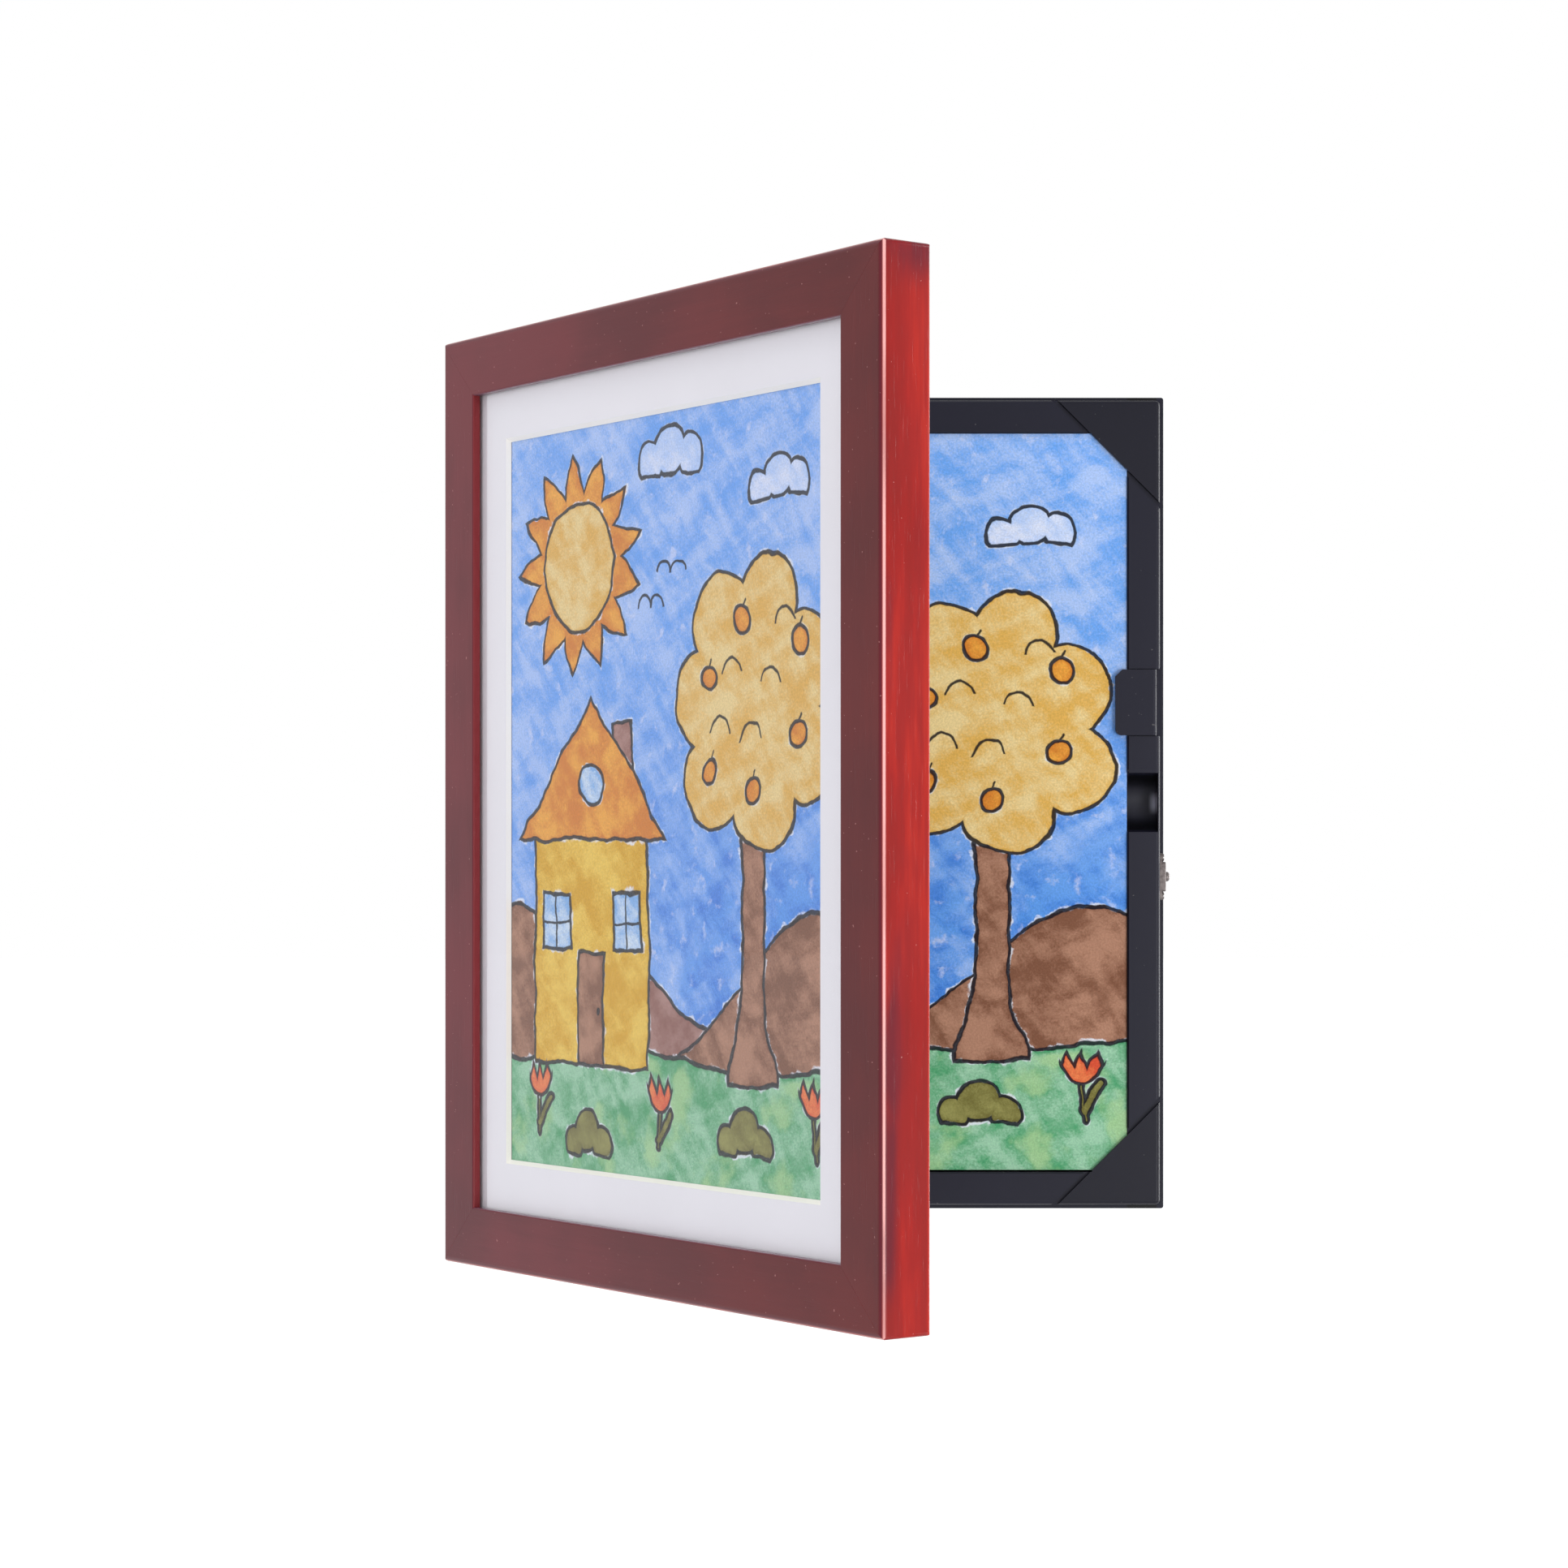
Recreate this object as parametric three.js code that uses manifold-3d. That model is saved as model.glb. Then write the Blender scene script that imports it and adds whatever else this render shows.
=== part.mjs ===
import * as THREE from 'three';
import { mergeVertices } from 'three/addons/utils/BufferGeometryUtils.js';
import Module from 'manifold-3d';

// A front-opening frame that shows one sheet behind its mat and stores more in a tray.
// Millimetres. X is to the right of someone who faces it, Y into the wall, Z up.
// The tray's back lies on the wall at Y = 0. The door is named and placed as if shut,
// and one group turns all of it about the hinge pins to the opening it rests at.

const wasm = await Module();
wasm.setup();

// Shares and counts
const QUARTER_TURN = Math.PI / 2;
const ROUND_SIDES = 24;
const SMALL_ROUND_SIDES = 16;
const CORNER_STEPS = 3;
const DOME_SHARE = 0.5;
const RIDGE_TOP_SHARE = 0.5;
const TAB_CHAMFER_RISE_SHARE = 0.6;

// Paper
const SHEET_WIDTH = 215.9;
const SHEET_HEIGHT = 279.4;
const SHEET_THICKNESS = 0.3;
const SHEET_PLAY = 0.8;
const STACK_THICKNESS = 5.6;
const STACK_GAP = 0.1;

// Gaps and overruns
const CUT_OVERRUN = 1;
const FIT_GAP = 0.3;
const RUNNING_GAP = 0.1;
const LAYER_GAP = 0.25;

// Tray moulding
const TRAY_DEPTH = 20;
const TRAY_FLOOR = 3;
const RIM_WIDTH = 12.4;
const RIM_CORNER = 1.5;
const RIM_EDGE = 1.2;
const RECESS_CORNER = 1.5;
const FLANGE_OUT = 2.3;
const FLANGE_DEPTH = 10;
const FLANGE_CORNER = 1;

// Corner plates
const CORNER_LEG = 39;
const CORNER_THICKNESS = 1.5;
const CORNER_GROOVE = 1.1;
const CORNER_NOSE = 1;

// Side tab and its slot
const TAB_CENTRE = 38;
const TAB_HEIGHT = 25;
const TAB_THICKNESS = 1.6;
const TAB_RAISE = 0.6;
const TAB_OVER_SHEET = 3.9;
const TAB_OUTER_INSET = 1.4;
const TAB_CHAMFER = 4;
const TAB_FOOT_THICKNESS = 1;
const TAB_FOOT_OVERHANG = 1.8;
const TAB_FOOT_STOP = 3.4;

// Thumb notch
const NOTCH_RADIUS = 11.25;
const NOTCH_WALL = 0.8;

// Sprung catch on the tray's side
const CATCH_CENTRE = -28.2;
const CATCH_DEPTH_PLACE = 4.8;
const CATCH_LENGTH = 18;
const CATCH_WIDTH = 6;
const CATCH_BASE = 1;
const CATCH_BLOCK_LENGTH = 11.3;
const CATCH_BLOCK_OUT = 2.35;
const BARREL_RADIUS = 2.5;
const BARREL_LENGTH = 9;
const BARREL_END_WALL = 1;
const NUB_RADIUS = 1.85;
const NUB_OUT = 1.6;
const NUB_BODY = 6;
const NUB_SPRING_RADIUS = 1.5;
const CATCH_SCREW_HEAD_RADIUS = 1.4;
const CATCH_SCREW_HEAD = 0.9;
const CATCH_SCREW_RADIUS = 0.8;
const CATCH_SCREW_LENGTH = 6;

// Pressure plate and its springs
const PLATE_THICKNESS = 2.5;
const PLATE_SIDE_GAP = 0.6;
const PLATE_CORNER = 2.5;
const SPRING_RADIUS = 5;
const SPRING_WALL = 1.2;
const PEG_RADIUS = 3.3;
const PEG_HEIGHT = 1.5;
const SPRING_INSET_X = 48;
const SPRING_INSET_Z = 52;

// Door frame moulding
const RAIL_FACE = 22.1;
const RAIL_DEPTH = 19.6;
const RAIL_WALL = 10;
const RAIL_LIP = 3;
const RAIL_EDGE = 2.4;
const RAIL_SIGHT_EDGE = 0.7;
const RAIL_BACK_EDGE = 0.8;
const MITRE_GAP = 0.4;
const DOOR_SIDE_CLEARANCE = 4.35;
const DOOR_END_CLEARANCE = 11.35;
const DOOR_LAP = 8.9;
const DOOR_ANGLE = 53.67 * Math.PI / 180;

// What the door holds
const GLAZING_THICKNESS = 1;
const MAT_THICKNESS = 1.4;
const BACKING_THICKNESS = 1.5;
const PANEL_SIDE_GAP = 0.4;
const MAT_LAP_SIDE = 12.3;
const MAT_LAP_END = 6.45;
const POINT_WIDTH = 8;
const POINT_LENGTH = 13;
const POINT_IN_WOOD = 4;
const POINT_THICKNESS = 0.5;
const SIDE_POINT_FROM_END = 69.25;

// Hinges
const HINGE_INSET = 2.74;
const HINGE_STANDOFF = 1.55;
const HINGE_FROM_END = 64.25;
const HINGE_LENGTH = 40;
const HINGE_MIDDLE_KNUCKLE = 15;
const KNUCKLE_RADIUS = 2;
const KNUCKLE_GAP = 0.3;
const PIN_RADIUS = 1;
const PIN_HEAD_RADIUS = 1.7;
const PIN_HEAD = 0.8;
const LEAF_THICKNESS = 1.1;
const HINGE_SCREW_SPREAD = 12;
const HINGE_SCREW_EDGE = 2.6;
const HINGE_SCREW_HEAD_RADIUS = 1.7;
const HINGE_SCREW_HEAD = 0.6;
const HINGE_SCREW_RADIUS = 0.9;
const HINGE_SCREW_LENGTH = 5;
const EAR_LENGTH = 50;
const EAR_END_GAP = 0.3;

// Strike in the latch stile
const STRIKE_LENGTH = 22;
const STRIKE_WIDTH = 6.6;
const STRIKE_THICKNESS = 1;
const STRIKE_BACK_INSET = 0.4;
const STRIKE_RIDGE_OUT = 0.8;
const STRIKE_RIDGE_WIDTH = 1.3;
const STRIKE_SCREW_SPREAD = 7.6;
const STRIKE_SCREW_HEAD_RADIUS = 1.6;
const STRIKE_SCREW_HEAD = 0.5;
const STRIKE_SCREW_RADIUS = 0.8;
const STRIKE_SCREW_LENGTH = 5;

// Sawtooth hangers in the tray's back
const HANGER_LENGTH = 44;
const HANGER_HEIGHT = 7;
const HANGER_THICKNESS = 0.9;
const HANGER_TOOTH = 1.6;
const HANGER_TEETH = 11;
const HANGER_POCKET_DEPTH = 2.6;
const HANGER_POCKET_MARGIN = 1.2;
const HANGER_STAND = 1.2;
const HANGER_FOOT = 7;
const NAIL_HEAD_RADIUS = 1.6;
const NAIL_HEAD = 0.4;
const NAIL_RADIUS = 0.7;
const NAIL_LENGTH = 7;

// Sizes that follow
const RECESS_WIDTH = SHEET_WIDTH + 2 * SHEET_PLAY;
const RECESS_HEIGHT = SHEET_HEIGHT + 2 * SHEET_PLAY;
const TRAY_WIDTH = RECESS_WIDTH + 2 * RIM_WIDTH;
const TRAY_HEIGHT = RECESS_HEIGHT + 2 * RIM_WIDTH;
const REBATE_WIDTH = TRAY_WIDTH + 2 * DOOR_SIDE_CLEARANCE;
const REBATE_HEIGHT = TRAY_HEIGHT + 2 * DOOR_END_CLEARANCE;
const DOOR_WIDTH = REBATE_WIDTH + 2 * RAIL_WALL;
const DOOR_HEIGHT = REBATE_HEIGHT + 2 * RAIL_WALL;
const SIDE_POINT_PLACE = REBATE_HEIGHT / 2 - SIDE_POINT_FROM_END;
const HINGE_PLACE = DOOR_HEIGHT / 2 - HINGE_FROM_END;

// Planes across the depth, from the wall forwards
const RIM_FRONT = -TRAY_DEPTH;
const DOOR_BACK = RIM_FRONT + DOOR_LAP;
const DOOR_FRONT = DOOR_BACK - RAIL_DEPTH;
const SHEET_FRONT = RIM_FRONT + CORNER_THICKNESS + 2 * STACK_GAP;
const STACK_FRONT = SHEET_FRONT + SHEET_THICKNESS + STACK_GAP;
const PLATE_FRONT = STACK_FRONT + STACK_THICKNESS + STACK_GAP;
const PLATE_BACK = PLATE_FRONT + PLATE_THICKNESS;
const GLAZING_FRONT = DOOR_FRONT + RAIL_LIP + LAYER_GAP;
const MAT_FRONT = GLAZING_FRONT + GLAZING_THICKNESS + LAYER_GAP;
const PICTURE_FRONT = MAT_FRONT + MAT_THICKNESS + LAYER_GAP;
const BACKING_FRONT = PICTURE_FRONT + SHEET_THICKNESS + LAYER_GAP;
const POINT_FRONT = BACKING_FRONT + BACKING_THICKNESS + LAYER_GAP;

// Hinge axis, upright, left of the tray and just behind the shut door's back
const AXIS_X = -DOOR_WIDTH / 2 + HINGE_INSET;
const AXIS_Y = DOOR_BACK + HINGE_STANDOFF;
const DOOR_LEAF_FRONT = DOOR_BACK + FIT_GAP;
const EAR_FRONT = 2 * AXIS_Y - DOOR_LEAF_FRONT;
const BORE_RADIUS = PIN_RADIUS + RUNNING_GAP;
const DOOR_LEAF_WIDTH = RAIL_WALL - HINGE_INSET - FIT_GAP;
const TRAY_LEAF_WIDTH = -TRAY_WIDTH / 2 - FLANGE_OUT - FIT_GAP - AXIS_X;

// Catch places
const CATCH_Y = RIM_FRONT + CATCH_DEPTH_PLACE;
const CATCH_FACE = TRAY_WIDTH / 2 + CATCH_BLOCK_OUT;
const NUB_TIP = CATCH_FACE + NUB_OUT;
const NUB_BACK = NUB_TIP - NUB_RADIUS - NUB_BODY;

// Finishes
function finish(color, roughness, metalness) {
  return new THREE.MeshStandardMaterial({ color, roughness, metalness });
}

const CHERRY = finish(0x8c2f2a, 0.35, 0);
const CLEAR = finish(0xdfe6ea, 0.05, 0);
const MAT_WHITE = finish(0xdddde4, 0.9, 0);
const PRINTED_PAPER = finish(0x86a8d8, 0.8, 0);
const PLAIN_PAPER = finish(0xf2efe8, 0.85, 0);
const HARDBOARD = finish(0x7a5a3c, 0.85, 0);
const BLACK_PLASTIC = finish(0x2a2a2e, 0.5, 0);
const STEEL = finish(0x8f8a88, 0.35, 0.9);
const DARK_STEEL = finish(0x55524f, 0.4, 0.9);

// Solids and meshes
function solidOf(geometry) {
  const bare = geometry.clone();
  bare.deleteAttribute('normal');
  bare.deleteAttribute('uv');
  const merged = mergeVertices(bare);
  const vertProperties = new Float32Array(merged.attributes.position.array);
  const triVerts = new Uint32Array(merged.index.array);
  return new wasm.Manifold(new wasm.Mesh({ numProp: 3, vertProperties, triVerts }));
}

function geometryOf(solid) {
  const mesh = solid.getMesh();
  const geometry = new THREE.BufferGeometry();
  geometry.setAttribute('position', new THREE.BufferAttribute(mesh.vertProperties, 3));
  geometry.setIndex(new THREE.BufferAttribute(mesh.triVerts, 1));
  geometry.computeVertexNormals();
  return geometry;
}

function place(group, name, geometry, material) {
  const mesh = new THREE.Mesh(geometry, material);
  mesh.name = name;
  group.add(mesh);
}

function block(x, y, z) {
  const geometry = new THREE.BoxGeometry(x[1] - x[0], y[1] - y[0], z[1] - z[0]);
  geometry.translate((x[0] + x[1]) / 2, (y[0] + y[1]) / 2, (z[0] + z[1]) / 2);
  return geometry;
}

function centred(middle, length) {
  return [middle - length / 2, middle + length / 2];
}

function rod(radius, span, sides) {
  const geometry = new THREE.CylinderGeometry(radius, radius, span[1] - span[0], sides);
  geometry.translate(0, (span[0] + span[1]) / 2, 0);
  return geometry;
}

function rodAlongX(radius, span, y, z, sides) {
  const geometry = rod(radius, span, sides);
  geometry.rotateZ(-QUARTER_TURN);
  geometry.translate(0, y, z);
  return geometry;
}

function rodAlongY(radius, span, x, z, sides) {
  const geometry = rod(radius, span, sides);
  geometry.translate(x, 0, z);
  return geometry;
}

function rodAlongZ(radius, span, x, y, sides) {
  const geometry = rod(radius, span, sides);
  geometry.rotateX(QUARTER_TURN);
  geometry.translate(x, y, 0);
  return geometry;
}

// An outline in X and Z, made a plate between two planes across the depth
function plate(shape, front, back, edge = 0) {
  const rounded = edge > 0;
  const geometry = new THREE.ExtrudeGeometry(shape, {
    depth: back - front - 2 * edge,
    bevelEnabled: rounded,
    bevelThickness: edge,
    bevelSize: edge,
    bevelOffset: -edge,
    bevelSegments: CORNER_STEPS,
    curveSegments: CORNER_STEPS,
  });
  geometry.rotateX(QUARTER_TURN);
  geometry.translate(0, back - edge, 0);
  return geometry;
}

function roundedRectangle(width, height, corner) {
  const x = width / 2 - corner;
  const z = height / 2 - corner;
  const shape = new THREE.Shape();
  shape.absarc(x, z, corner, 0, QUARTER_TURN, false);
  shape.absarc(-x, z, corner, QUARTER_TURN, 2 * QUARTER_TURN, false);
  shape.absarc(-x, -z, corner, 2 * QUARTER_TURN, 3 * QUARTER_TURN, false);
  shape.absarc(x, -z, corner, 3 * QUARTER_TURN, 4 * QUARTER_TURN, false);
  return shape;
}

function outline(points) {
  return new THREE.Shape(points.map(([x, z]) => new THREE.Vector2(x, z)));
}

function sorted(span) {
  return span.sort((a, b) => a - b);
}

// A headed pin from the outer face of its head towards the side that side names
function pinSpans(face, side, head, length) {
  const headSpan = sorted([face, face + side * head]);
  const shankSpan = sorted([face + side * head / 2, face + side * length]);
  return [headSpan, shankSpan];
}

function screwAlongX(y, z, face, side, head, headRadius, radius, length) {
  const [headSpan, shankSpan] = pinSpans(face, side, head, length);
  const cap = rodAlongX(headRadius, headSpan, y, z, SMALL_ROUND_SIDES);
  const shank = rodAlongX(radius, shankSpan, y, z, SMALL_ROUND_SIDES);
  return geometryOf(solidOf(shank).add(solidOf(cap)));
}

function screwAlongY(x, z, face, side, head, headRadius, radius, length) {
  const [headSpan, shankSpan] = pinSpans(face, side, head, length);
  const cap = rodAlongY(headRadius, headSpan, x, z, SMALL_ROUND_SIDES);
  const shank = rodAlongY(radius, shankSpan, x, z, SMALL_ROUND_SIDES);
  return geometryOf(solidOf(shank).add(solidOf(cap)));
}

// Corners of the tray, as the side in X and in Z
const CORNERS = [
  ['top_right', 1, 1],
  ['top_left', -1, 1],
  ['bottom_left', -1, -1],
  ['bottom_right', 1, -1],
];

const HINGES = [['upper', HINGE_PLACE], ['lower', -HINGE_PLACE]];
const ENDS = [['upper', 1], ['lower', -1]];

// Corner plates
function cornerOutline(sideX, sideZ, leg, inset) {
  const x = TRAY_WIDTH / 2 - inset;
  const z = TRAY_HEIGHT / 2 - inset;
  const reach = leg - 2 * inset;
  const nose = inset > 0 ? CORNER_NOSE : 0;
  const points = [
    [sideX * (x - reach), sideZ * z],
    [sideX * (x - nose), sideZ * z],
    [sideX * x, sideZ * (z - nose)],
    [sideX * x, sideZ * (z - reach)],
  ];
  return outline(sideX * sideZ > 0 ? points.reverse() : points);
}

function cornerPlateGeometry(sideX, sideZ) {
  const shape = cornerOutline(sideX, sideZ, CORNER_LEG, CORNER_GROOVE / 2);
  return plate(shape, RIM_FRONT, RIM_FRONT + CORNER_THICKNESS);
}

function cornerSeat(sideX, sideZ) {
  const leg = CORNER_LEG + CORNER_GROOVE * Math.SQRT2;
  const shape = cornerOutline(sideX, sideZ, leg, -CUT_OVERRUN);
  return solidOf(plate(shape, RIM_FRONT - CUT_OVERRUN, RIM_FRONT + CORNER_THICKNESS));
}

// Side tab: a slide whose hidden foot runs in a wider slot below the rim's face
const TAB_SPAN = centred(TAB_CENTRE, TAB_HEIGHT);
const TAB_TIP = RECESS_WIDTH / 2 - SHEET_PLAY - TAB_OVER_SHEET;
const TAB_OUTER = TRAY_WIDTH / 2 - TAB_OUTER_INSET;
const TAB_FRONT = RIM_FRONT - TAB_RAISE;
const TAB_BACK = TAB_FRONT + TAB_THICKNESS;
const FOOT_INNER = RECESS_WIDTH / 2 + TAB_FOOT_STOP;

function widened([low, high], amount) {
  return [low - amount, high + amount];
}

function tabGeometry() {
  const [low, high] = TAB_SPAN;
  const rise = TAB_CHAMFER * TAB_CHAMFER_RISE_SHARE;
  const face = outline([
    [TAB_TIP, low + rise],
    [TAB_TIP + rise, low],
    [TAB_OUTER, low],
    [TAB_OUTER, high],
    [TAB_TIP + TAB_CHAMFER, high],
    [TAB_TIP, high - rise],
  ]);
  const footBack = TAB_BACK + TAB_FOOT_THICKNESS;
  const foot = block(
    [FOOT_INNER, TAB_OUTER],
    [TAB_BACK - TAB_FOOT_THICKNESS / 2, footBack],
    TAB_SPAN,
  );
  const lips = block(
    [FOOT_INNER, TAB_OUTER],
    [TAB_BACK + RUNNING_GAP, footBack],
    widened(TAB_SPAN, TAB_FOOT_OVERHANG),
  );
  const tab = solidOf(plate(face, TAB_FRONT, TAB_BACK)).add(solidOf(foot));
  return geometryOf(tab.add(solidOf(lips)));
}

function tabSlot() {
  const outside = TRAY_WIDTH / 2 + CUT_OVERRUN;
  const upper = block(
    [RECESS_WIDTH / 2 - CUT_OVERRUN, outside],
    [RIM_FRONT - CUT_OVERRUN, TAB_BACK + RUNNING_GAP / 2],
    widened(TAB_SPAN, FIT_GAP),
  );
  const lower = block(
    [FOOT_INNER - FIT_GAP, outside],
    [TAB_BACK, TAB_BACK + TAB_FOOT_THICKNESS + FIT_GAP],
    widened(TAB_SPAN, TAB_FOOT_OVERHANG + FIT_GAP),
  );
  return solidOf(upper).add(solidOf(lower));
}

// Catch: a barrel let into the tray's side, with a sprung round-nosed nub
const CATCH_SCREW_PLACE = (CATCH_BLOCK_LENGTH / 2 + CATCH_LENGTH / 2) / 2;
const SIDE_FACE = TRAY_WIDTH / 2;

function catchGeometry() {
  const depth = centred(CATCH_Y, CATCH_WIDTH);
  const lugs = centred(CATCH_CENTRE, CATCH_LENGTH);
  const base = block([SIDE_FACE, SIDE_FACE + CATCH_BASE], depth, lugs);
  const body = block([SIDE_FACE, CATCH_FACE], depth, centred(CATCH_CENTRE, CATCH_BLOCK_LENGTH));
  const barrelEnd = SIDE_FACE - BARREL_LENGTH;
  const barrelSpan = [barrelEnd, SIDE_FACE + CATCH_BASE / 2];
  const barrel = rodAlongX(BARREL_RADIUS, barrelSpan, CATCH_Y, CATCH_CENTRE, ROUND_SIDES);
  const boreSpan = [barrelEnd + BARREL_END_WALL, CATCH_FACE + CUT_OVERRUN];
  const bore = rodAlongX(NUB_RADIUS + RUNNING_GAP, boreSpan, CATCH_Y, CATCH_CENTRE, ROUND_SIDES);
  let solid = solidOf(base).add(solidOf(body)).add(solidOf(barrel)).subtract(solidOf(bore));
  for (const [, side] of ENDS) {
    const z = CATCH_CENTRE + side * CATCH_SCREW_PLACE;
    const span = [SIDE_FACE - CUT_OVERRUN, SIDE_FACE + CATCH_BASE + CUT_OVERRUN];
    const hole = rodAlongX(CATCH_SCREW_RADIUS + FIT_GAP, span, CATCH_Y, z, SMALL_ROUND_SIDES);
    solid = solid.subtract(solidOf(hole));
  }
  return geometryOf(solid);
}

function catchScrewGeometry(side) {
  const face = SIDE_FACE + CATCH_BASE + CATCH_SCREW_HEAD;
  return screwAlongX(
    CATCH_Y,
    CATCH_CENTRE + side * CATCH_SCREW_PLACE,
    face,
    -1,
    CATCH_SCREW_HEAD,
    CATCH_SCREW_HEAD_RADIUS,
    CATCH_SCREW_RADIUS,
    CATCH_SCREW_LENGTH,
  );
}

function nubGeometry() {
  const domeStart = NUB_TIP - NUB_RADIUS;
  const body = rodAlongX(NUB_RADIUS, [NUB_BACK, domeStart], CATCH_Y, CATCH_CENTRE, ROUND_SIDES);
  const ball = new THREE.SphereGeometry(NUB_RADIUS, ROUND_SIDES, ROUND_SIDES * DOME_SHARE);
  ball.rotateZ(-QUARTER_TURN);
  ball.translate(domeStart, CATCH_Y, CATCH_CENTRE);
  return geometryOf(solidOf(body).add(solidOf(ball)));
}

function nubSpringGeometry() {
  const start = SIDE_FACE - BARREL_LENGTH + BARREL_END_WALL;
  return rodAlongX(
    NUB_SPRING_RADIUS,
    [start, NUB_BACK - RUNNING_GAP],
    CATCH_Y,
    CATCH_CENTRE,
    SMALL_ROUND_SIDES,
  );
}

function catchCuts() {
  const outside = SIDE_FACE + CUT_OVERRUN;
  const barrelSpan = [SIDE_FACE - BARREL_LENGTH - FIT_GAP, outside];
  const barrel = rodAlongX(BARREL_RADIUS + FIT_GAP, barrelSpan, CATCH_Y, CATCH_CENTRE, ROUND_SIDES);
  let cuts = solidOf(barrel);
  const screwReach = CATCH_SCREW_LENGTH - CATCH_BASE - CATCH_SCREW_HEAD + FIT_GAP;
  for (const [, side] of ENDS) {
    const z = CATCH_CENTRE + side * CATCH_SCREW_PLACE;
    const span = [SIDE_FACE - screwReach, outside];
    const hole = rodAlongX(CATCH_SCREW_RADIUS + RUNNING_GAP, span, CATCH_Y, z, SMALL_ROUND_SIDES);
    cuts = cuts.add(solidOf(hole));
  }
  return cuts;
}

// Thumb notch: a half round scooped across the right rim
function thumbNotch() {
  const span = [RECESS_WIDTH / 2 - CUT_OVERRUN, TRAY_WIDTH / 2 - NOTCH_WALL];
  return solidOf(rodAlongX(NOTCH_RADIUS, span, RIM_FRONT, 0, ROUND_SIDES));
}

// Pressure plate, springs and the pegs that hold them
const SPRING_SPANS = [
  ['upper_right', 1, 1],
  ['upper_left', -1, 1],
  ['lower_left', -1, -1],
  ['lower_right', 1, -1],
];

function springPlace(sideX, sideZ) {
  const x = sideX * (RECESS_WIDTH / 2 - SPRING_INSET_X);
  const z = sideZ * (RECESS_HEIGHT / 2 - SPRING_INSET_Z);
  return [x, z];
}

function springGeometry(sideX, sideZ) {
  const [x, z] = springPlace(sideX, sideZ);
  const span = [PLATE_BACK + STACK_GAP, -TRAY_FLOOR];
  const outer = solidOf(rodAlongY(SPRING_RADIUS, span, x, z, ROUND_SIDES));
  const inner = rodAlongY(SPRING_RADIUS - SPRING_WALL, widened(span, CUT_OVERRUN), x, z, ROUND_SIDES);
  return geometryOf(outer.subtract(solidOf(inner)));
}

function peg(sideX, sideZ) {
  const [x, z] = springPlace(sideX, sideZ);
  const span = [-TRAY_FLOOR - PEG_HEIGHT, -TRAY_FLOOR / 2];
  return solidOf(rodAlongY(PEG_RADIUS, span, x, z, ROUND_SIDES));
}

function pressurePlateGeometry() {
  const width = RECESS_WIDTH - 2 * PLATE_SIDE_GAP;
  const height = RECESS_HEIGHT - 2 * PLATE_SIDE_GAP;
  return plate(roundedRectangle(width, height, PLATE_CORNER), PLATE_FRONT, PLATE_BACK);
}

function sheetGeometry(front, back) {
  const corners = outline([
    [-SHEET_WIDTH / 2, -SHEET_HEIGHT / 2],
    [SHEET_WIDTH / 2, -SHEET_HEIGHT / 2],
    [SHEET_WIDTH / 2, SHEET_HEIGHT / 2],
    [-SHEET_WIDTH / 2, SHEET_HEIGHT / 2],
  ]);
  return plate(corners, front, back);
}

// Hinges: the fixed leaf has the outer knuckles, the door's leaf the middle one

function leafScrewX(leafWidth) {
  return AXIS_X + leafWidth - HINGE_SCREW_EDGE;
}

function knuckle(span) {
  return solidOf(rodAlongZ(KNUCKLE_RADIUS, span, AXIS_X, AXIS_Y, ROUND_SIDES));
}

function hingeBore(middle) {
  const span = centred(middle, HINGE_LENGTH + 2 * CUT_OVERRUN);
  return solidOf(rodAlongZ(BORE_RADIUS, span, AXIS_X, AXIS_Y, ROUND_SIDES));
}

// The screw heads sit flush in the face that meets the other leaf
function leafScrewHoles(leafWidth, middle, face, side) {
  let holes = null;
  for (const [, end] of ENDS) {
    const x = leafScrewX(leafWidth);
    const z = middle + end * HINGE_SCREW_SPREAD;
    const start = face - side * CUT_OVERRUN;
    const through = sorted([start, face + side * (LEAF_THICKNESS + CUT_OVERRUN)]);
    const sink = sorted([start, face + side * (HINGE_SCREW_HEAD + RUNNING_GAP)]);
    const bore = rodAlongY(HINGE_SCREW_RADIUS + FIT_GAP, through, x, z, SMALL_ROUND_SIDES);
    const seat = rodAlongY(HINGE_SCREW_HEAD_RADIUS + FIT_GAP, sink, x, z, SMALL_ROUND_SIDES);
    const hole = solidOf(bore).add(solidOf(seat));
    holes = holes ? holes.add(hole) : hole;
  }
  return holes;
}

function trayLeafGeometry(middle) {
  const length = centred(middle, HINGE_LENGTH);
  const across = [AXIS_X, AXIS_X + TRAY_LEAF_WIDTH];
  const leaf = block(across, [EAR_FRONT - LEAF_THICKNESS, EAR_FRONT], length);
  const gap = centred(middle, HINGE_MIDDLE_KNUCKLE + 2 * KNUCKLE_GAP);
  const reach = KNUCKLE_RADIUS + KNUCKLE_GAP;
  const window = block([AXIS_X - reach, AXIS_X + reach], [AXIS_Y - reach, AXIS_Y + reach], gap);
  const solid = solidOf(leaf).add(knuckle(length)).subtract(solidOf(window));
  const face = EAR_FRONT - LEAF_THICKNESS;
  const holes = leafScrewHoles(TRAY_LEAF_WIDTH, middle, face, 1);
  return geometryOf(solid.subtract(hingeBore(middle)).subtract(holes));
}

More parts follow.
